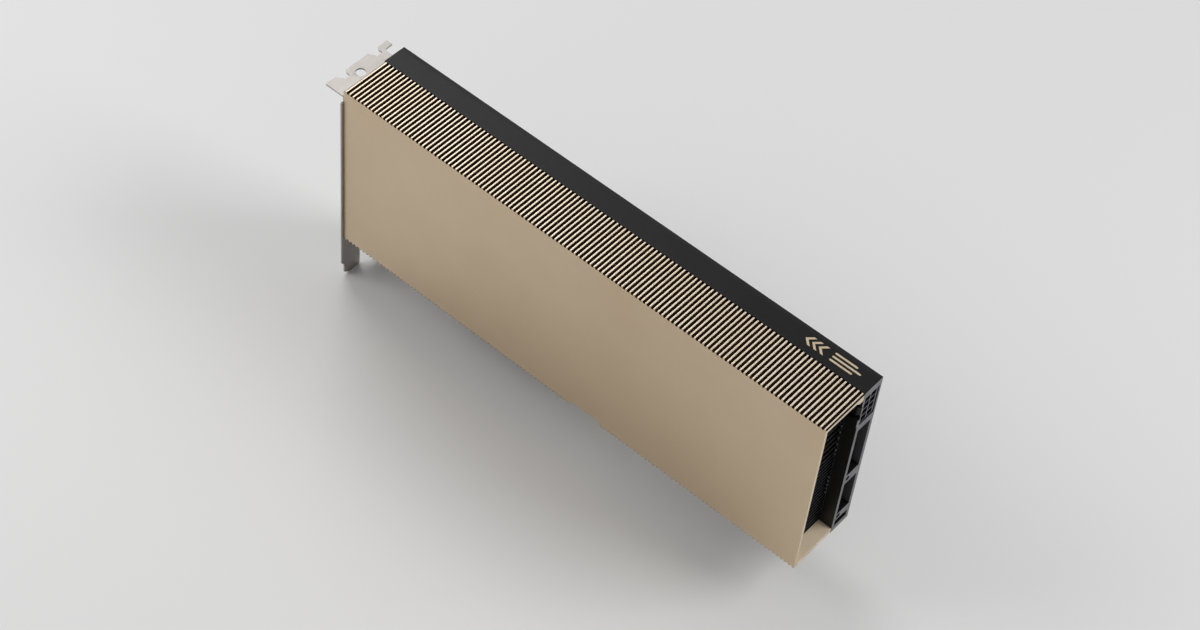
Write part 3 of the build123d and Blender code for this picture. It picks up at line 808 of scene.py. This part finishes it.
@dataclass
class Shroud(Placed):
    """Ribbed channel over the fins."""

    node: str = "shroud"
    pitch: float = 2.176
    groove: float = 1.08
    depth: float = 1.0
    first: float = 2.5
    last_land: float = 1.3
    land_round: float = 0.34
    floor_round: float = 0.3
    arc_steps: int = 3
    edge: float = 0.3
    least_round: float = 0.02
    tail_round: float = 0.6
    front_wall: float = 1.4
    wall: float = 2.4
    rail_depth: float = 2.6
    rail_slope: float = 2.6
    top_rail: float = 4.35
    bottom_rail: float = 3.4
    recess: Recess = Recess()
    skin: float = 1.2
    least_crest: float = 0.01
    overshoot: float = 2.0
    boss_size: float = 6.0
    boss_reach: float = 16.75
    boss_depth: float = 8.0
    rim: float = 0.28
    rim_room: float = 0.1
    # Depth that splits the painted highlight of the lands from the painted shade of the grooves.
    lit_lip: float = 0.1
    lean: float = 0.3
    # Tilt range of the tail corner's faces that take the painted shadow line.
    corner_lean: Point2 = (0.12, 0.98)

    @property
    def quarter(self) -> list[float]:
        """Angles of the points on a quarter turn."""
        return quarter_turn(self.arc_steps)

    @property
    def overlap(self) -> Vector:
        """How far the bosses reach into the walls that they stand on."""
        return Vector((0.0, self.edge, self.edge))

    def groove_middles(self) -> Iterator[float]:
        """Gives each groove's station along the card.

        Yields:
            The stations from the bracket to the tail.
        """
        room = self.high.x - self.low.x - self.first - self.groove / 2 - self.last_land
        for i in range(int(room / self.pitch) + 1):
            yield self.low.x + self.first + self.pitch * i

    def groove_points(self, middle: float, inset: float) -> Loop:
        """Gives one groove with round lips and a round floor, as station and depth.

        Args:
            middle: The groove's station.
            inset: How far the outline is drawn in.

        Returns:
            The groove's points from the bracket to the tail.
        """
        half = self.groove / 2
        lip = self.land_round - inset
        floor = self.floor_round + inset
        left = [
            (-half - self.land_round + lip * math.sin(a), self.land_round - lip * math.cos(a))
            for a in self.quarter
        ]
        left += [
            (-half + self.floor_round - floor * math.cos(a),
             self.depth - self.floor_round + floor * math.sin(a))
            for a in self.quarter
        ]
        right = [(-x, t) for x, t in reversed(left)]
        return [(middle + x, t) for x, t in left + right]

    def edge_points(self, inset: float, with_recess: bool) -> Loop:
        """Gives one ribbed edge from the bracket to the tail, as station and depth.

        Args:
            inset: How far the outline is drawn in.
            with_recess: True for the lower edge.

        Returns:
            The edge's points, from the half groove at the bracket to the rounded tail corner.
        """
        radius = self.edge - inset
        points = [
            (self.low.x + self.edge - radius * math.cos(a),
             self.depth + self.edge - radius * math.sin(a))
            for a in self.quarter
        ]
        half_groove = self.groove_points(self.low.x + self.first - self.pitch, inset)
        points += half_groove[len(half_groove) // 2:]
        reach = (self.recess.mouth + self.groove) / 2 + self.land_round
        recess_done = not with_recess
        for middle in self.groove_middles():
            if with_recess and abs(middle - self.recess.middle) < reach:
                if not recess_done:
                    points += self.recess.points(inset)
                    recess_done = True
                continue
            points += self.groove_points(middle, inset)
        radius = self.tail_round - inset
        points += [
            (self.high.x - self.tail_round + radius * math.sin(a),
             self.tail_round - radius * math.cos(a))
            for a in self.quarter
        ]
        return points

    def outer(self) -> Shape:
        """Builds the ribbed block with rounded edges.

        Returns:
            The block's mesh.
        """
        rounding = [
            (self.edge * (1 - math.cos(a)), self.edge * (1 - math.sin(a))) for a in self.quarter
        ]
        levels = [(self.low.y + rise, inset) for rise, inset in rounding]
        levels += [(self.high.y - rise, inset) for rise, inset in reversed(rounding)]
        rings = []
        for y, inset in levels:
            inset = min(inset, self.edge - self.least_round)
            lower = [(x, self.low.z + t) for x, t in self.edge_points(inset, True)]
            upper = [(x, self.high.z - t) for x, t in self.edge_points(inset, False)]
            rings.append([Vector((x, y, z)) for x, z in lower + upper[::-1]])
        shape = bmesh.new()
        loft(shape, rings)
        return shape

    def hollow(self) -> Shape:
        """Builds the space inside the channel, with the skin over the recess left out.

        Returns:
            The space's mesh, which runs past the channel's open sides.
        """
        start, end = self.low.x - self.overshoot, self.high.x + self.overshoot
        middle = self.recess.middle
        mouth = self.recess.mouth / 2 + self.skin
        floor = self.recess.floor / 2 + self.skin
        rings = []
        for y, below, above in (
            (self.low.y + self.front_wall, self.wall, self.wall),
            (self.high.y - self.rail_depth - self.rail_slope, self.wall, self.wall),
            (self.high.y - self.rail_depth, self.bottom_rail, self.top_rail),
            (self.high.y + self.overshoot, self.bottom_rail, self.top_rail),
        ):
            base = self.low.z + below
            top = self.high.z - above
            crest = max(self.low.z + self.recess.depth + self.skin, base + self.least_crest)
            ring = [
                (start, base), (middle - mouth, base), (middle - floor, crest),
                (middle + floor, crest), (middle + mouth, base), (end, base), (end, top),
                (start, top),
            ]
            rings.append([Vector((x, y, z)) for x, z in ring])
        shape = bmesh.new()
        loft(shape, rings)
        return shape

    def build(self) -> None:
        """Cuts the hollow out of the ribbed block and finishes the shroud."""
        shape = cut_away(self.outer(), self.hollow())
        for z in (self.low.z + self.wall, self.high.z - self.boss_reach):
            low = Vector((self.low.x + self.edge, self.low.y + self.front_wall, z)) - self.overlap
            size = Vector((self.boss_depth, self.boss_size, self.boss_reach - self.wall))
            add_block(shape, low, low + size + self.overlap)
        round_edges(shape, self.rim, wanted=self.on_rim)
        finishes = (GOLD, GOLD_EDGE_HIGHLIGHT, GOLD_LAND_HIGHLIGHT, GOLD_GROOVE_SHADE, GOLD_INNER_LIGHT)
        settle("ribbed_shroud", shape, finishes, self.node, self.finish_of)

    def on_rim(self, edge: Edge) -> bool:
        """Picks the hollow's own edges in the tail's plane.

        Args:
            edge: An edge of the shroud.

        Returns:
            True for such an edge.
        """
        room = self.rim_room
        return all(
            point.x > self.high.x - room
            and point.y > self.low.y + self.edge + room
            and self.depth_of(point) > self.wall - room
            for point in (vertex.co / MM for vertex in edge.verts)
        )

    def depth_of(self, point: Vector) -> float:
        """Gives how deep a place lies below the nearer ribbed edge."""
        return min(point.z - self.low.z, self.high.z - point.z)

    def finish_of(self, face: Face) -> Finish:
        """Picks a finish: painted highlight on the tail rim and the lands, painted shade in the
        grooves and on the tail's outer corner, painted light on the inner walls, or plain.

        Args:
            face: A face of the shroud.

        Returns:
            Its finish.
        """
        centre = face.calc_center_median() / MM
        depth = self.depth_of(centre)
        ribbed = centre.x < self.high.x - self.tail_round
        shallow, steep = self.corner_lean
        # Painted shadow line: the rounded strip of the tail's outer corner takes the dark groove
        # finish.
        if (
            centre.x > self.high.x - self.tail_round and shallow < face.normal.x < steep
            and depth < self.tail_round and abs(face.normal.y) < self.lean
        ):
            return GOLD_GROOVE_SHADE
        # Painted highlight on the faces that look towards the tail.
        if centre.x > self.high.x - self.edge and face.normal.x > self.lean:
            return GOLD_EDGE_HIGHLIGHT
        # Painted light on the inner walls that face the channel's middle.
        if depth > self.wall - self.rim_room:
            towards_middle = face.normal.z * ((self.low.z + self.high.z) / 2 - centre.z)
            return GOLD_INNER_LIGHT if towards_middle > 0 else GOLD
        beside_recess = (
            centre.z > self.recess.depth + self.low.z + self.wall
            or abs(centre.x - self.recess.middle) > self.recess.mouth / 2
        )
        if abs(face.normal.y) > FACING or not (ribbed and beside_recess):
            return GOLD
        # Painted highlight on the lands and shallow lip faces, painted shade on the deeper groove
        # faces.
        return GOLD_LAND_HIGHLIGHT if depth < self.lit_lip else GOLD_GROOVE_SHADE


@dataclass
class SideFrame(Placed):
    """Black ring behind the shroud, with painted light on its tail face."""

    node: str = "side_frame"
    rounding: float = 0.22
    tail_room: float = 0.3

    def build(self) -> None:
        """Rounds the frame's edges and paints light on its tail face."""
        shape = cad_shape(self.node)
        round_edges(shape, self.rounding, CAD_CORNER)
        # Faces that look towards the tail take painted light.
        tail = self.high.x - self.tail_room
        settle(
            "side_frame_body", shape, (BLACK_PAINT, TAIL_FACE_LIGHT), self.node,
            lambda face: TAIL_FACE_LIGHT if at_tail(face, tail) else BLACK_PAINT,
        )


@dataclass
class BackPlate(Placed):
    """Plate over the whole back, with round countersunk holes and spacer bosses."""

    node: str = "back_plate"
    rounding: float = 0.12
    recess: Recess = Recess()
    plate: float = 2.0
    boss_radius: float = 2.75
    boss_hole: float = 1.3
    hole_room: float = 0.06
    header_room: float = 0.3
    overshoot: float = 1.0
    tail_lean: float = 0.3

    def outline(self) -> Loop:
        """Gives the plate's outline with the latch recess.

        Returns:
            The outline's points as station and height.
        """
        low, high = self.low, self.high
        recess = [(x, low.z + depth) for x, depth in self.recess.points()]
        return [(low.x, low.z), *recess, (high.x, low.z), (high.x, high.z), (low.x, high.z)]

    def build(self) -> None:
        """Builds the plate, its bosses and the step that lets the header in."""
        shape = bmesh.new()
        holes = [
            circle(centre, HEAD_RADII[node] + self.hole_room)
            for node in ("shroud_screws", "back_plate_screws")
            for centre in read_centres(node, 0)
        ]
        inner = self.high.y - self.plate
        add_sheet(shape, [self.outline(), *holes], upright, inner, self.high.y)
        round_edges(shape, self.rounding)
        header_low, header_high = read_box("power_header")
        room, over = self.header_room, self.overshoot
        pocket = bmesh.new()
        add_block(
            pocket,
            Vector((header_low.x - room, inner - over, header_low.z - room)),
            Vector((self.high.x + over, header_high.y + room, header_high.z + room)),
        )
        shape = cut_away(shape, pocket)
        for centre in read_centres("back_plate_screws", 0):
            rings = [circle(centre, self.boss_radius), circle(centre, self.boss_hole)]
            add_sheet(shape, rings, upright, self.low.y, inner + self.hole_room)
        finishes = (PLATE_PAINT, TAIL_FACE_LIGHT, PLATE_INNER_LIGHT)
        settle("back_plate_body", shape, finishes, self.node, self.finish_of)

    def finish_of(self, face: Face) -> Finish:
        """Picks painted light for the tail face and for the inner face.

        Args:
            face: A face of the plate.

        Returns:
            Its finish.
        """
        # Painted light on the tail face and on the inner face.
        if at_tail(face, self.high.x - self.rounding, self.tail_lean):
            return TAIL_FACE_LIGHT
        return PLATE_INNER_LIGHT if face.normal.y < -FACING else PLATE_PAINT


@dataclass
class Fins:
    """Dark fin sheets with root lips, darkened further as painted shade and with painted light on
    their tail edges, and bright interlocking tabs near their tail ends.
    """

    lip_gap: float = 0.12
    last_lip: float = 1.6
    tab_from_end: float = 0.9
    tab_length: float = 1.1
    tab_height: float = 0.75
    tab_from_root: float = 0.9
    tab_depth: float = 0.8
    tab_round: float = 0.15
    tab_sunk: float = 0.02
    tab_rows: tuple[int, ...] = (5, 6, 7, 8, 9, 10, 16, 17, 18, 19, 20)

    def build(self) -> None:
        """Builds each fin sheet with its lip, and the tabs by their rows from the top."""
        fins = sorted(read_islands("fin_stack"), key=lambda box: box[0].z)
        shape = bmesh.new()
        tabs = bmesh.new()
        lips = [above[0].z - self.lip_gap for above in fins[1:]]
        lips.append(fins[-1][1].z + self.last_lip)
        for (low, high), lip in zip(fins, lips):
            thick = high.z - low.z
            profile = [
                (low.y, low.z), (high.y, low.z), (high.y, lip), (high.y - thick, lip),
                (high.y - thick, high.z), (low.y, high.z),
            ]
            loft(shape, [[Vector((x, y, z)) for y, z in profile] for x in (low.x, high.x)])
        size = Vector((self.tab_length, self.tab_depth, self.tab_height))
        shift = Vector((self.tab_from_end, self.tab_from_root, self.tab_sunk))
        for row in self.tab_rows:
            start = fins[-1 - row][1] - shift
            add_block(tabs, start, start + size)
        round_edges(tabs, self.tab_round)
        # The sheets carry painted shade; their tail-facing edges take painted light.
        settle(
            "fin_sheets", shape, (DARK_SHEET_SHADE, FIN_EDGE_LIGHT), "fin_stack",
            lambda face: FIN_EDGE_LIGHT if face.normal.x > FACING else DARK_SHEET_SHADE,
        )
        settle("fin_tabs", tabs, (BARE_TAB,))


@dataclass
class Header(Placed):
    """Power header with eight cavities and its pins."""

    node: str = "power_header"
    rounding: float = 0.16
    pin_rounding: float = 0.12
    front_room: float = 0.25

    def build(self) -> None:
        """Rounds the housing and dresses its pins."""
        shape = cad_shape(self.node)
        round_edges(shape, self.rounding, CAD_CORNER)
        # The tail-facing front takes painted light.
        front = self.high.x - self.front_room
        dress("header_pins", TIN, self.pin_rounding)
        settle(
            "power_header_housing", shape, (NYLON, NYLON_FACE_LIGHT), self.node,
            lambda face: NYLON_FACE_LIGHT if at_tail(face, front) else NYLON,
        )


@dataclass
class Bracket(Placed):
    """Folded bracket: an upright plate with vents and feet, and a notched tab.

    The flat pattern is drawn first, with its height running on over the bend into the tab.
    """

    node: str = "io_bracket"
    sheet: float = 0.86
    bend: float = 1.06
    bend_steps: int = 6
    rounding: float = 0.1
    width: float = 38.74
    plate_bottom: float = -4.2
    neck_height: float = 3.18
    tab_shift: float = 1.7
    slots: int = 2
    slot_pitch: float = 20.32
    notch_middle: float = 9.7
    notch_width: float = 3.4
    notch_bottom: float = 7.5
    notch_throat: float = 1.2
    notch_taper: float = 0.2
    near_lead: float = 2.1
    far_throat: float = 2.2
    far_lead: float = 1.3
    neck_from_notch: float = 3.68
    finger_width: float = 5.04
    finger_depth: float = 3.4
    finger_round: float = 1.8
    finger_steps: int = 5
    hole_depth: float = 5.6
    hole_from_front: float = 16.1
    hole_radius: float = 2.45
    hole_steps: int = 40
    foot_width: float = 10.19
    foot_step: float = 1.9
    foot_corner: float = 0.9
    foot_toe: float = 3.1
    vent_length: float = 10.5
    vent_width: float = 3.2
    vent_pitch: float = 6.0
    vent_rows: int = 10
    vent_columns: int = 2
    vent_first: float = 9.5
    vent_column_pitch: float = 12.1
    screw_hole: float = 1.35
    screw_steps: int = 24
    face_x: float = field(default_factory=lambda: read_box("shroud")[0].x)

    @property
    def tab_near(self) -> float:
        """Where the tab starts on the shroud's side."""
        return self.low.y + self.tab_shift

    @property
    def neck(self) -> float:
        """Width of the neck between plate and tab."""
        return self.notch_middle + self.slot_pitch + self.neck_from_notch

    @property
    def bend_start(self) -> float:
        """Height on the flat pattern at which the bend starts."""
        return self.high.z - self.bend

    def tab_height(self, depth: float) -> float:
        """Height on the flat pattern of a place on the tab, from its depth outward."""
        return self.bend_start + self.bend * math.pi / 2 + depth - self.bend

    def fold(self, across: float, up: float, inward: float) -> Vector:
        """Folds a place on the flat pattern into its place on the card.

        Args:
            across: Place along the card's Y axis.
            up: Height on the flat pattern.
            inward: Depth into the sheet from the face that lies against the card.

        Returns:
            The folded place.
        """
        centre_x = self.face_x - self.bend
        turn = (up - self.bend_start) / self.bend
        if turn <= 0:
            return Vector((self.face_x - inward, across, up))
        if turn >= math.pi / 2:
            beyond = (turn - math.pi / 2) * self.bend
            return Vector((centre_x - beyond, across, self.high.z - inward))
        radius = self.bend - inward
        return Vector((
            centre_x + radius * math.cos(turn), across,
            self.bend_start + radius * math.sin(turn),
        ))

    def pattern(self) -> Loop:
        """Draws the flat pattern: shoulder, notched tab, finger, plate and feet.

        Returns:
            The outline's points as place across and height.
        """
        near = self.tab_near
        shoulder = self.high.z - self.neck_height
        tip = self.tab_height(self.face_x - self.low.x)
        floor = self.tab_height(self.notch_bottom)
        half = self.notch_width / 2
        neck_end = near + self.neck
        finger_end = neck_end + self.finger_width
        finger = tip - self.finger_depth
        corner = [
            (neck_end + self.finger_round * (1 - math.cos(a)),
             finger - self.finger_round * (1 - math.sin(a)))
            for a in quarter_turn(self.finger_steps)
        ]
        points = [(self.low.y, shoulder), (near, shoulder), (near, tip)]
        for i in range(self.slots):
            centre = near + self.notch_middle + self.slot_pitch * i
            points += [
                (centre - half - self.near_lead, tip),
                (centre - half - self.notch_taper, floor + self.notch_throat),
                (centre - half, floor), (centre + half, floor),
                (centre + half, floor + self.far_throat),
                (centre + half + self.far_lead, tip),
            ]
        points += [(finger_end, tip), (finger_end, finger), *corner[::-1]]
        points += [
            (neck_end, shoulder), (self.low.y + self.width, shoulder),
            (self.low.y + self.width, self.plate_bottom),
        ]
        for i in reversed(range(self.slots)):
            start = near + self.slot_pitch * i
            end = start + self.foot_width
            points += [
                (end, self.plate_bottom), (end, self.low.z + self.foot_corner),
                (end - self.foot_corner, self.low.z), (start + self.foot_toe, self.low.z),
                (start, self.low.z + self.foot_step),
                (start, self.plate_bottom - self.foot_step),
                (max(start - self.foot_step, self.low.y), self.plate_bottom),
            ]
        return points

    def vents(self) -> list[Loop]:
        """Gives the exhaust slots in front of the fins.

        Returns:
            Each slot's outline.
        """
        low, high = read_box("shroud")
        middle = (low.z + high.z) / 2
        return [
            slot_hole(
                (self.low.y + self.vent_first + self.vent_column_pitch * column,
                 middle + self.vent_pitch * (row - (self.vent_rows - 1) / 2)),
                self.vent_length, self.vent_width,
            )
            for column in range(self.vent_columns)
            for row in range(self.vent_rows)
        ]

    def build(self) -> None:
        """Cuts the flat pattern, folds it and rounds its edges."""
        hole = circle(
            (self.tab_near + self.hole_from_front, self.tab_height(self.hole_depth)),
            self.hole_radius, self.hole_steps,
        )
        screws = [
            circle(centre, self.screw_hole, self.screw_steps)
            for centre in read_centres("bracket_screws", 1)
        ]
        shape = bmesh.new()
        add_sheet(
            shape, [self.pattern(), hole, *self.vents(), *screws],
            lambda across, up, depth: Vector((depth, across, up)), 0.0, self.sheet,
        )
        for step in range(self.bend_steps + 1):
            up = self.bend_start + self.bend * math.pi / 2 * step / self.bend_steps
            bmesh.ops.bisect_plane(
                shape, geom=[*shape.verts, *shape.edges, *shape.faces], dist=SAME_PLACE,
                plane_co=(0, 0, up * MM), plane_no=(0, 0, 1),
            )
        for vertex in shape.verts:
            flat = vertex.co / MM
            vertex.co = self.fold(flat.y, flat.z, flat.x) * MM
        round_edges(shape, self.rounding)
        settle("folded_bracket", shape, (NICKEL,), self.node)


@dataclass
class ScrewSet:
    """Like screws that replace one CAD node. Sizes are millimetres."""

    node: str
    name: str
    slot: str
    finish: Finish
    axis: int
    outward: int
    domed: bool
    head_height: float
    socket: float
    socket_depth: float
    shank: float
    sides: int = 6
    steps: int = 24
    lip: float = 0.17
    crown: float = 0.02
    socket_draft: float = 0.96
    dome: tuple[Point2, ...] = ((0.93, 2.0), (0.78, 0.5), (0.62, 0.0))

    def ring(
        self, centre: Vector, radius: float, level: float, sided: bool = False
    ) -> list[Vector]:
        """Gives one ring of points round a screw's axis.

        Args:
            centre: A point on the axis.
            radius: The ring's radius, or the flats' distance.
            level: Its place along the axis.
            sided: True for the socket's shape.

        Returns:
            The ring's points.
        """
        points = []
        for i in range(self.steps):
            turn = 2 * math.pi * i / self.steps
            reach = radius
            if sided:
                part = turn % (2 * math.pi / self.sides) - math.pi / self.sides
                reach = radius / math.cos(part)
            first, second = math.cos(turn) * reach, math.sin(turn) * reach
            if self.axis == 0:
                points.append(Vector((level, centre.y + first, centre.z + second)))
            else:
                points.append(Vector((centre.x + first, level, centre.z + second)))
        return points

    def head(self) -> Loop:
        """Gives the head's outline from the shank to the crown.

        Returns:
            The outline as radius and depth below the crown.
        """
        radius = HEAD_RADII[self.node]
        if not self.domed:
            return [
                (self.shank, self.head_height), (radius, self.lip),
                (radius - self.lip, self.crown),
            ]
        return [
            (self.shank, self.head_height), (radius, self.head_height),
            (radius, self.head_height - 2 * self.lip),
            *[(radius * share, self.lip * lips) for share, lips in self.dome],
        ]

    def build(self) -> None:
        """Turns every screw of the set, with a sided socket in its head."""
        shape = bmesh.new()
        for low, high in read_islands(self.node):
            centre = (low + high) / 2
            foot, top = low[self.axis], high[self.axis]
            if self.outward < 0:
                foot, top = top, foot
            rings = [self.ring(centre, self.shank, foot)]
            rings += [
                self.ring(centre, radius, top - self.outward * depth)
                for radius, depth in self.head()
            ]
            rings += [
                self.ring(centre, self.socket * share, top - self.outward * depth, True)
                for share, depth in ((1.0, self.crown), (self.socket_draft, self.socket_depth))
            ]
            loft(shape, rings)
        settle(self.name, shape, (self.finish,), self.node)


SCREW_SETS = (
    ScrewSet(
        "bracket_screws", "bracket_pan_screws", "screws", ZINC, axis=0, outward=-1,
        domed=True, head_height=1.2, socket=0.95, socket_depth=0.75, shank=1.15,
    ),
    ScrewSet(
        "shroud_screws", "flat_shroud_screws", "black_screws", BLACK_OXIDE, axis=1, outward=1,
        domed=False, head_height=0.95, socket=0.75, socket_depth=0.6, shank=0.95,
    ),
    ScrewSet(
        "back_plate_screws", "flat_plate_screws", "black_screws", BLACK_OXIDE, axis=1,
        outward=1, domed=False, head_height=1.1, socket=0.95, socket_depth=0.7, shank=1.2,
    ),
)


@dataclass
class EdgeConnector:
    """Separate contacts on both faces of the tongue. Sizes are millimetres."""

    pitch: float = 1.0
    width: float = 0.7
    chamfer: float = 0.12
    draft: float = 0.03
    sunk: float = 0.01

    def build(self) -> None:
        """Lays as many contacts as fit into each band of the CAD."""
        shape = bmesh.new()
        for low, high in read_islands("edge_contacts"):
            count = int((high.x - low.x - self.width) / self.pitch) + 1
            margin = (high.x - low.x - self.width - self.pitch * (count - 1)) / 2
            front = (low.y + high.y) / 2 < 0
            outer = low.y if front else high.y
            inner = high.y + self.sunk if front else low.y - self.sunk
            for i in range(count):
                left = low.x + margin + self.pitch * i
                right = left + self.width
                rings = []
                for y, inset in ((inner, 0.0), (outer, self.draft)):
                    cut = self.chamfer
                    ring = [
                        (left + inset, low.z + cut), (left + cut, low.z + inset),
                        (right - cut, low.z + inset), (right - inset, low.z + cut),
                        (right - inset, high.z - cut), (right - cut, high.z - inset),
                        (left + cut, high.z - inset), (left + inset, high.z - cut),
                    ]
                    rings.append([Vector((x, y, z)) for x, z in ring])
                loft(shape, rings)
        settle("contact_fingers", shape, (GOLD_PLATE,), "edge_contacts")


@dataclass
class AirflowMark(Placed):
    """Generic print on the black strip: chevrons and bars that point along the air's way."""

    node: str = "side_frame"
    start: float = 175.0
    end: float = 203.6
    middle: float = -2.55
    height: float = 5.2
    chevrons: int = 3
    chevron_pitch: float = 3.4
    stroke: float = 1.5
    bars: int = 3
    bar_width: float = 0.95
    bar_gap: float = 1.0
    bar_shorter: float = 3.0
    ink: float = 0.015

    def build(self) -> None:
        """Prints the mark on the frame's top face."""
        top = self.high.z
        half = self.height / 2
        shape = bmesh.new()
        for i in range(self.chevrons):
            tip = self.start + self.chevron_pitch * i
            points = [
                (tip, self.middle), (tip + half, self.middle + half),
                (tip + half + self.stroke, self.middle + half),
                (tip + self.stroke, self.middle),
                (tip + half + self.stroke, self.middle - half),
                (tip + half, self.middle - half),
            ]
            self.stamp(shape, points, top)
        first = self.start + self.chevron_pitch * self.chevrons + half + self.bar_gap
        step = (self.height - self.bar_width) / (self.bars - 1)
        cut = self.bar_width / 2
        for i in range(self.bars):
            low = self.middle - half + step * i
            end = self.end - abs(i - (self.bars - 1) / 2) * self.bar_shorter
            points = [
                (first, low + cut), (first + cut, low), (end - cut, low),
                (end, low + cut), (end - cut, low + self.bar_width),
                (first + cut, low + self.bar_width),
            ]
            self.stamp(shape, points, top)
        settle("airflow_mark", shape, (PRINT,))

    def stamp(self, shape: Shape, points: Loop, top: float) -> None:
        """Adds one inked outline on the surface at a height."""
        loft(shape, [[Vector((x, y, z)) for x, y in points]
                     for z in (top - self.ink, top + self.ink)])


@dataclass
class BoardParts:
    """What is mounted on the board or lies between it and the heatsink."""

    looks: tuple[tuple[str, Finish, float], ...] = (
        ("circuit_board", BOARD, 0.08),
        # The film is lightened as painted light.
        ("insulating_sheet", FILM_LIGHTENED, 0.0),
        ("processor_substrates", LAMINATE, 0.12),
        ("processor_dies", SILICON, 0.06),
        ("thermal_paste", PASTE, 0.03),
        ("memory_chips", MOULDED, 0.12),
        ("memory_pads", SOFT_PAD, 0.2),
        ("switch_chip", MOULDED, 0.2),
        ("switch_pad", SOFT_PAD, 0.1),
        ("power_stages", MOULDED, 0.1),
        ("power_stage_pads", SOFT_PAD, 0.2),
        ("power_inductors", POWDER_CORE, 0.35),
        ("capacitors", POLYMER, 0.2),
        ("base_plate", MACHINED, 0.15),
        ("heat_pipes", COPPER, 0.3),
    )

    def build(self) -> None:
        """Gives each node its finish and its rounding in millimetres."""
        for node, finish, rounding in self.looks:
            dress(node, finish, rounding)


@dataclass(frozen=True)
class Lamp:
    """One soft panel lamp. Places are metres."""

    name: str
    place: tuple[float, float, float]
    size: float
    watts: float
    aim: tuple[float, float, float] = (0.077, -0.016, 0.05)

    def build(self) -> None:
        """Hangs the lamp and turns it to its aim."""
        light = bpy.data.lights.new(self.name, "AREA")
        light.shape = "SQUARE"
        light.size = self.size
        light.energy = self.watts
        holder = add_object(self.name, light)
        holder.location = self.place
        towards = Vector(self.aim) - Vector(self.place)
        holder.rotation_euler = towards.to_track_quat("-Z", "Y").to_euler()


@dataclass
class Studio:
    """Pale floor, soft lamps and the camera. Lengths are metres."""

    floor_half: float = 6.0
    floor_tone: Colour = (0.78, 0.78, 0.78)
    floor_roughness: float = 0.9
    world_level: float = 0.32
    backdrop_level: float = 0.86
    lamps: tuple[Lamp, ...] = (
        Lamp("key_panel", (-1.05, 0.62, 1.25), 1.0, 9.5),
        Lamp("front_panel", (-0.62, -0.55, 0.72), 0.6, 3.4, (-0.12, -0.1, 0.0)),
        Lamp("tail_panel", (1.05, 0.5, 1.0), 0.7, 8.5),
    )
    eye: tuple[float, float, float] = (0.49699, -0.59885, 0.91538)
    right: tuple[float, float, float] = (0.75528, 0.65104, 0.07551)
    up: tuple[float, float, float] = (-0.53916, 0.55168, 0.63635)
    back: tuple[float, float, float] = (0.37263, -0.52134, 0.76769)
    lens: float = 76.75
    sensor: float = 36.0
    nearest: float = 0.01

    def floor(self) -> None:
        """Lays the floor under the bracket's feet."""
        level = CAD_BOX[0][2]
        shape = bmesh.new()
        half = self.floor_half
        corners = [(-half, -half), (half, -half), (half, half), (-half, half)]
        shape.faces.new([shape.verts.new((x, y, level)) for x, y in corners])
        mesh = as_mesh("floor", shape)
        made = bpy.data.materials.new("pale_floor")
        made.use_nodes = True
        feed(made.node_tree, made.node_tree.nodes["Principled BSDF"], {
            "Base Color": (*self.floor_tone, 1.0), "Roughness": self.floor_roughness,
        })
        mesh.materials.append(made)
        piece = add_object("floor", mesh)

    def air(self) -> None:
        """Lights the room evenly, with a pale backdrop for the camera."""
        world = bpy.data.worlds.new("studio_air")
        world.use_nodes = True
        bpy.context.scene.world = world
        tree = world.node_tree
        lit = tree.nodes["Background"]
        white = (1.0, 1.0, 1.0, 1.0)
        feed(tree, lit, {"Color": white, "Strength": self.world_level})
        backdrop = {"Color": white, "Strength": self.backdrop_level}
        rays = tree.nodes.new("ShaderNodeLightPath")
        seen = {0: rays.outputs["Is Camera Ray"], 1: rays.outputs["Is Transmission Ray"]}
        air = add_node(tree, "MixShader", "Shader", {
            "Fac": add_node(tree, "Math", "Value", seen, operation="MAXIMUM"),
            1: lit.outputs["Background"],
            2: add_node(tree, "Background", "Background", backdrop),
        })
        feed(tree, tree.nodes["World Output"], {"Surface": air})

    def camera(self) -> None:
        """Places the camera at the photograph's viewing angle."""
        data = bpy.data.cameras.new("camera")
        data.lens = self.lens
        data.sensor_width = self.sensor
        data.sensor_fit = "HORIZONTAL"
        data.clip_start = self.nearest
        holder = add_object("camera", data)
        columns = Matrix((self.right, self.up, self.back)).transposed()
        holder.matrix_world = Matrix.Translation(self.eye) @ columns.to_4x4()
        bpy.context.scene.camera = holder

    def build(self) -> None:
        """Sets up floor, air, lamps and camera."""
        self.floor()
        self.air()
        for lamp in self.lamps:
            lamp.build()
        self.camera()
        bpy.context.scene.view_settings.view_transform = "Standard"


def main() -> None:
    """Builds the card's sub-assemblies in order, then the studio."""
    logging.basicConfig(level=logging.INFO, format="%(name)s: %(message)s")
    parts = (
        Shroud(), SideFrame(), BackPlate(), Fins(), Header(), Bracket(), *SCREW_SETS,
        EdgeConnector(), AirflowMark(), BoardParts(), Studio(),
    )
    for part in parts:
        part.build()


if __name__ == "__main__":
    main()
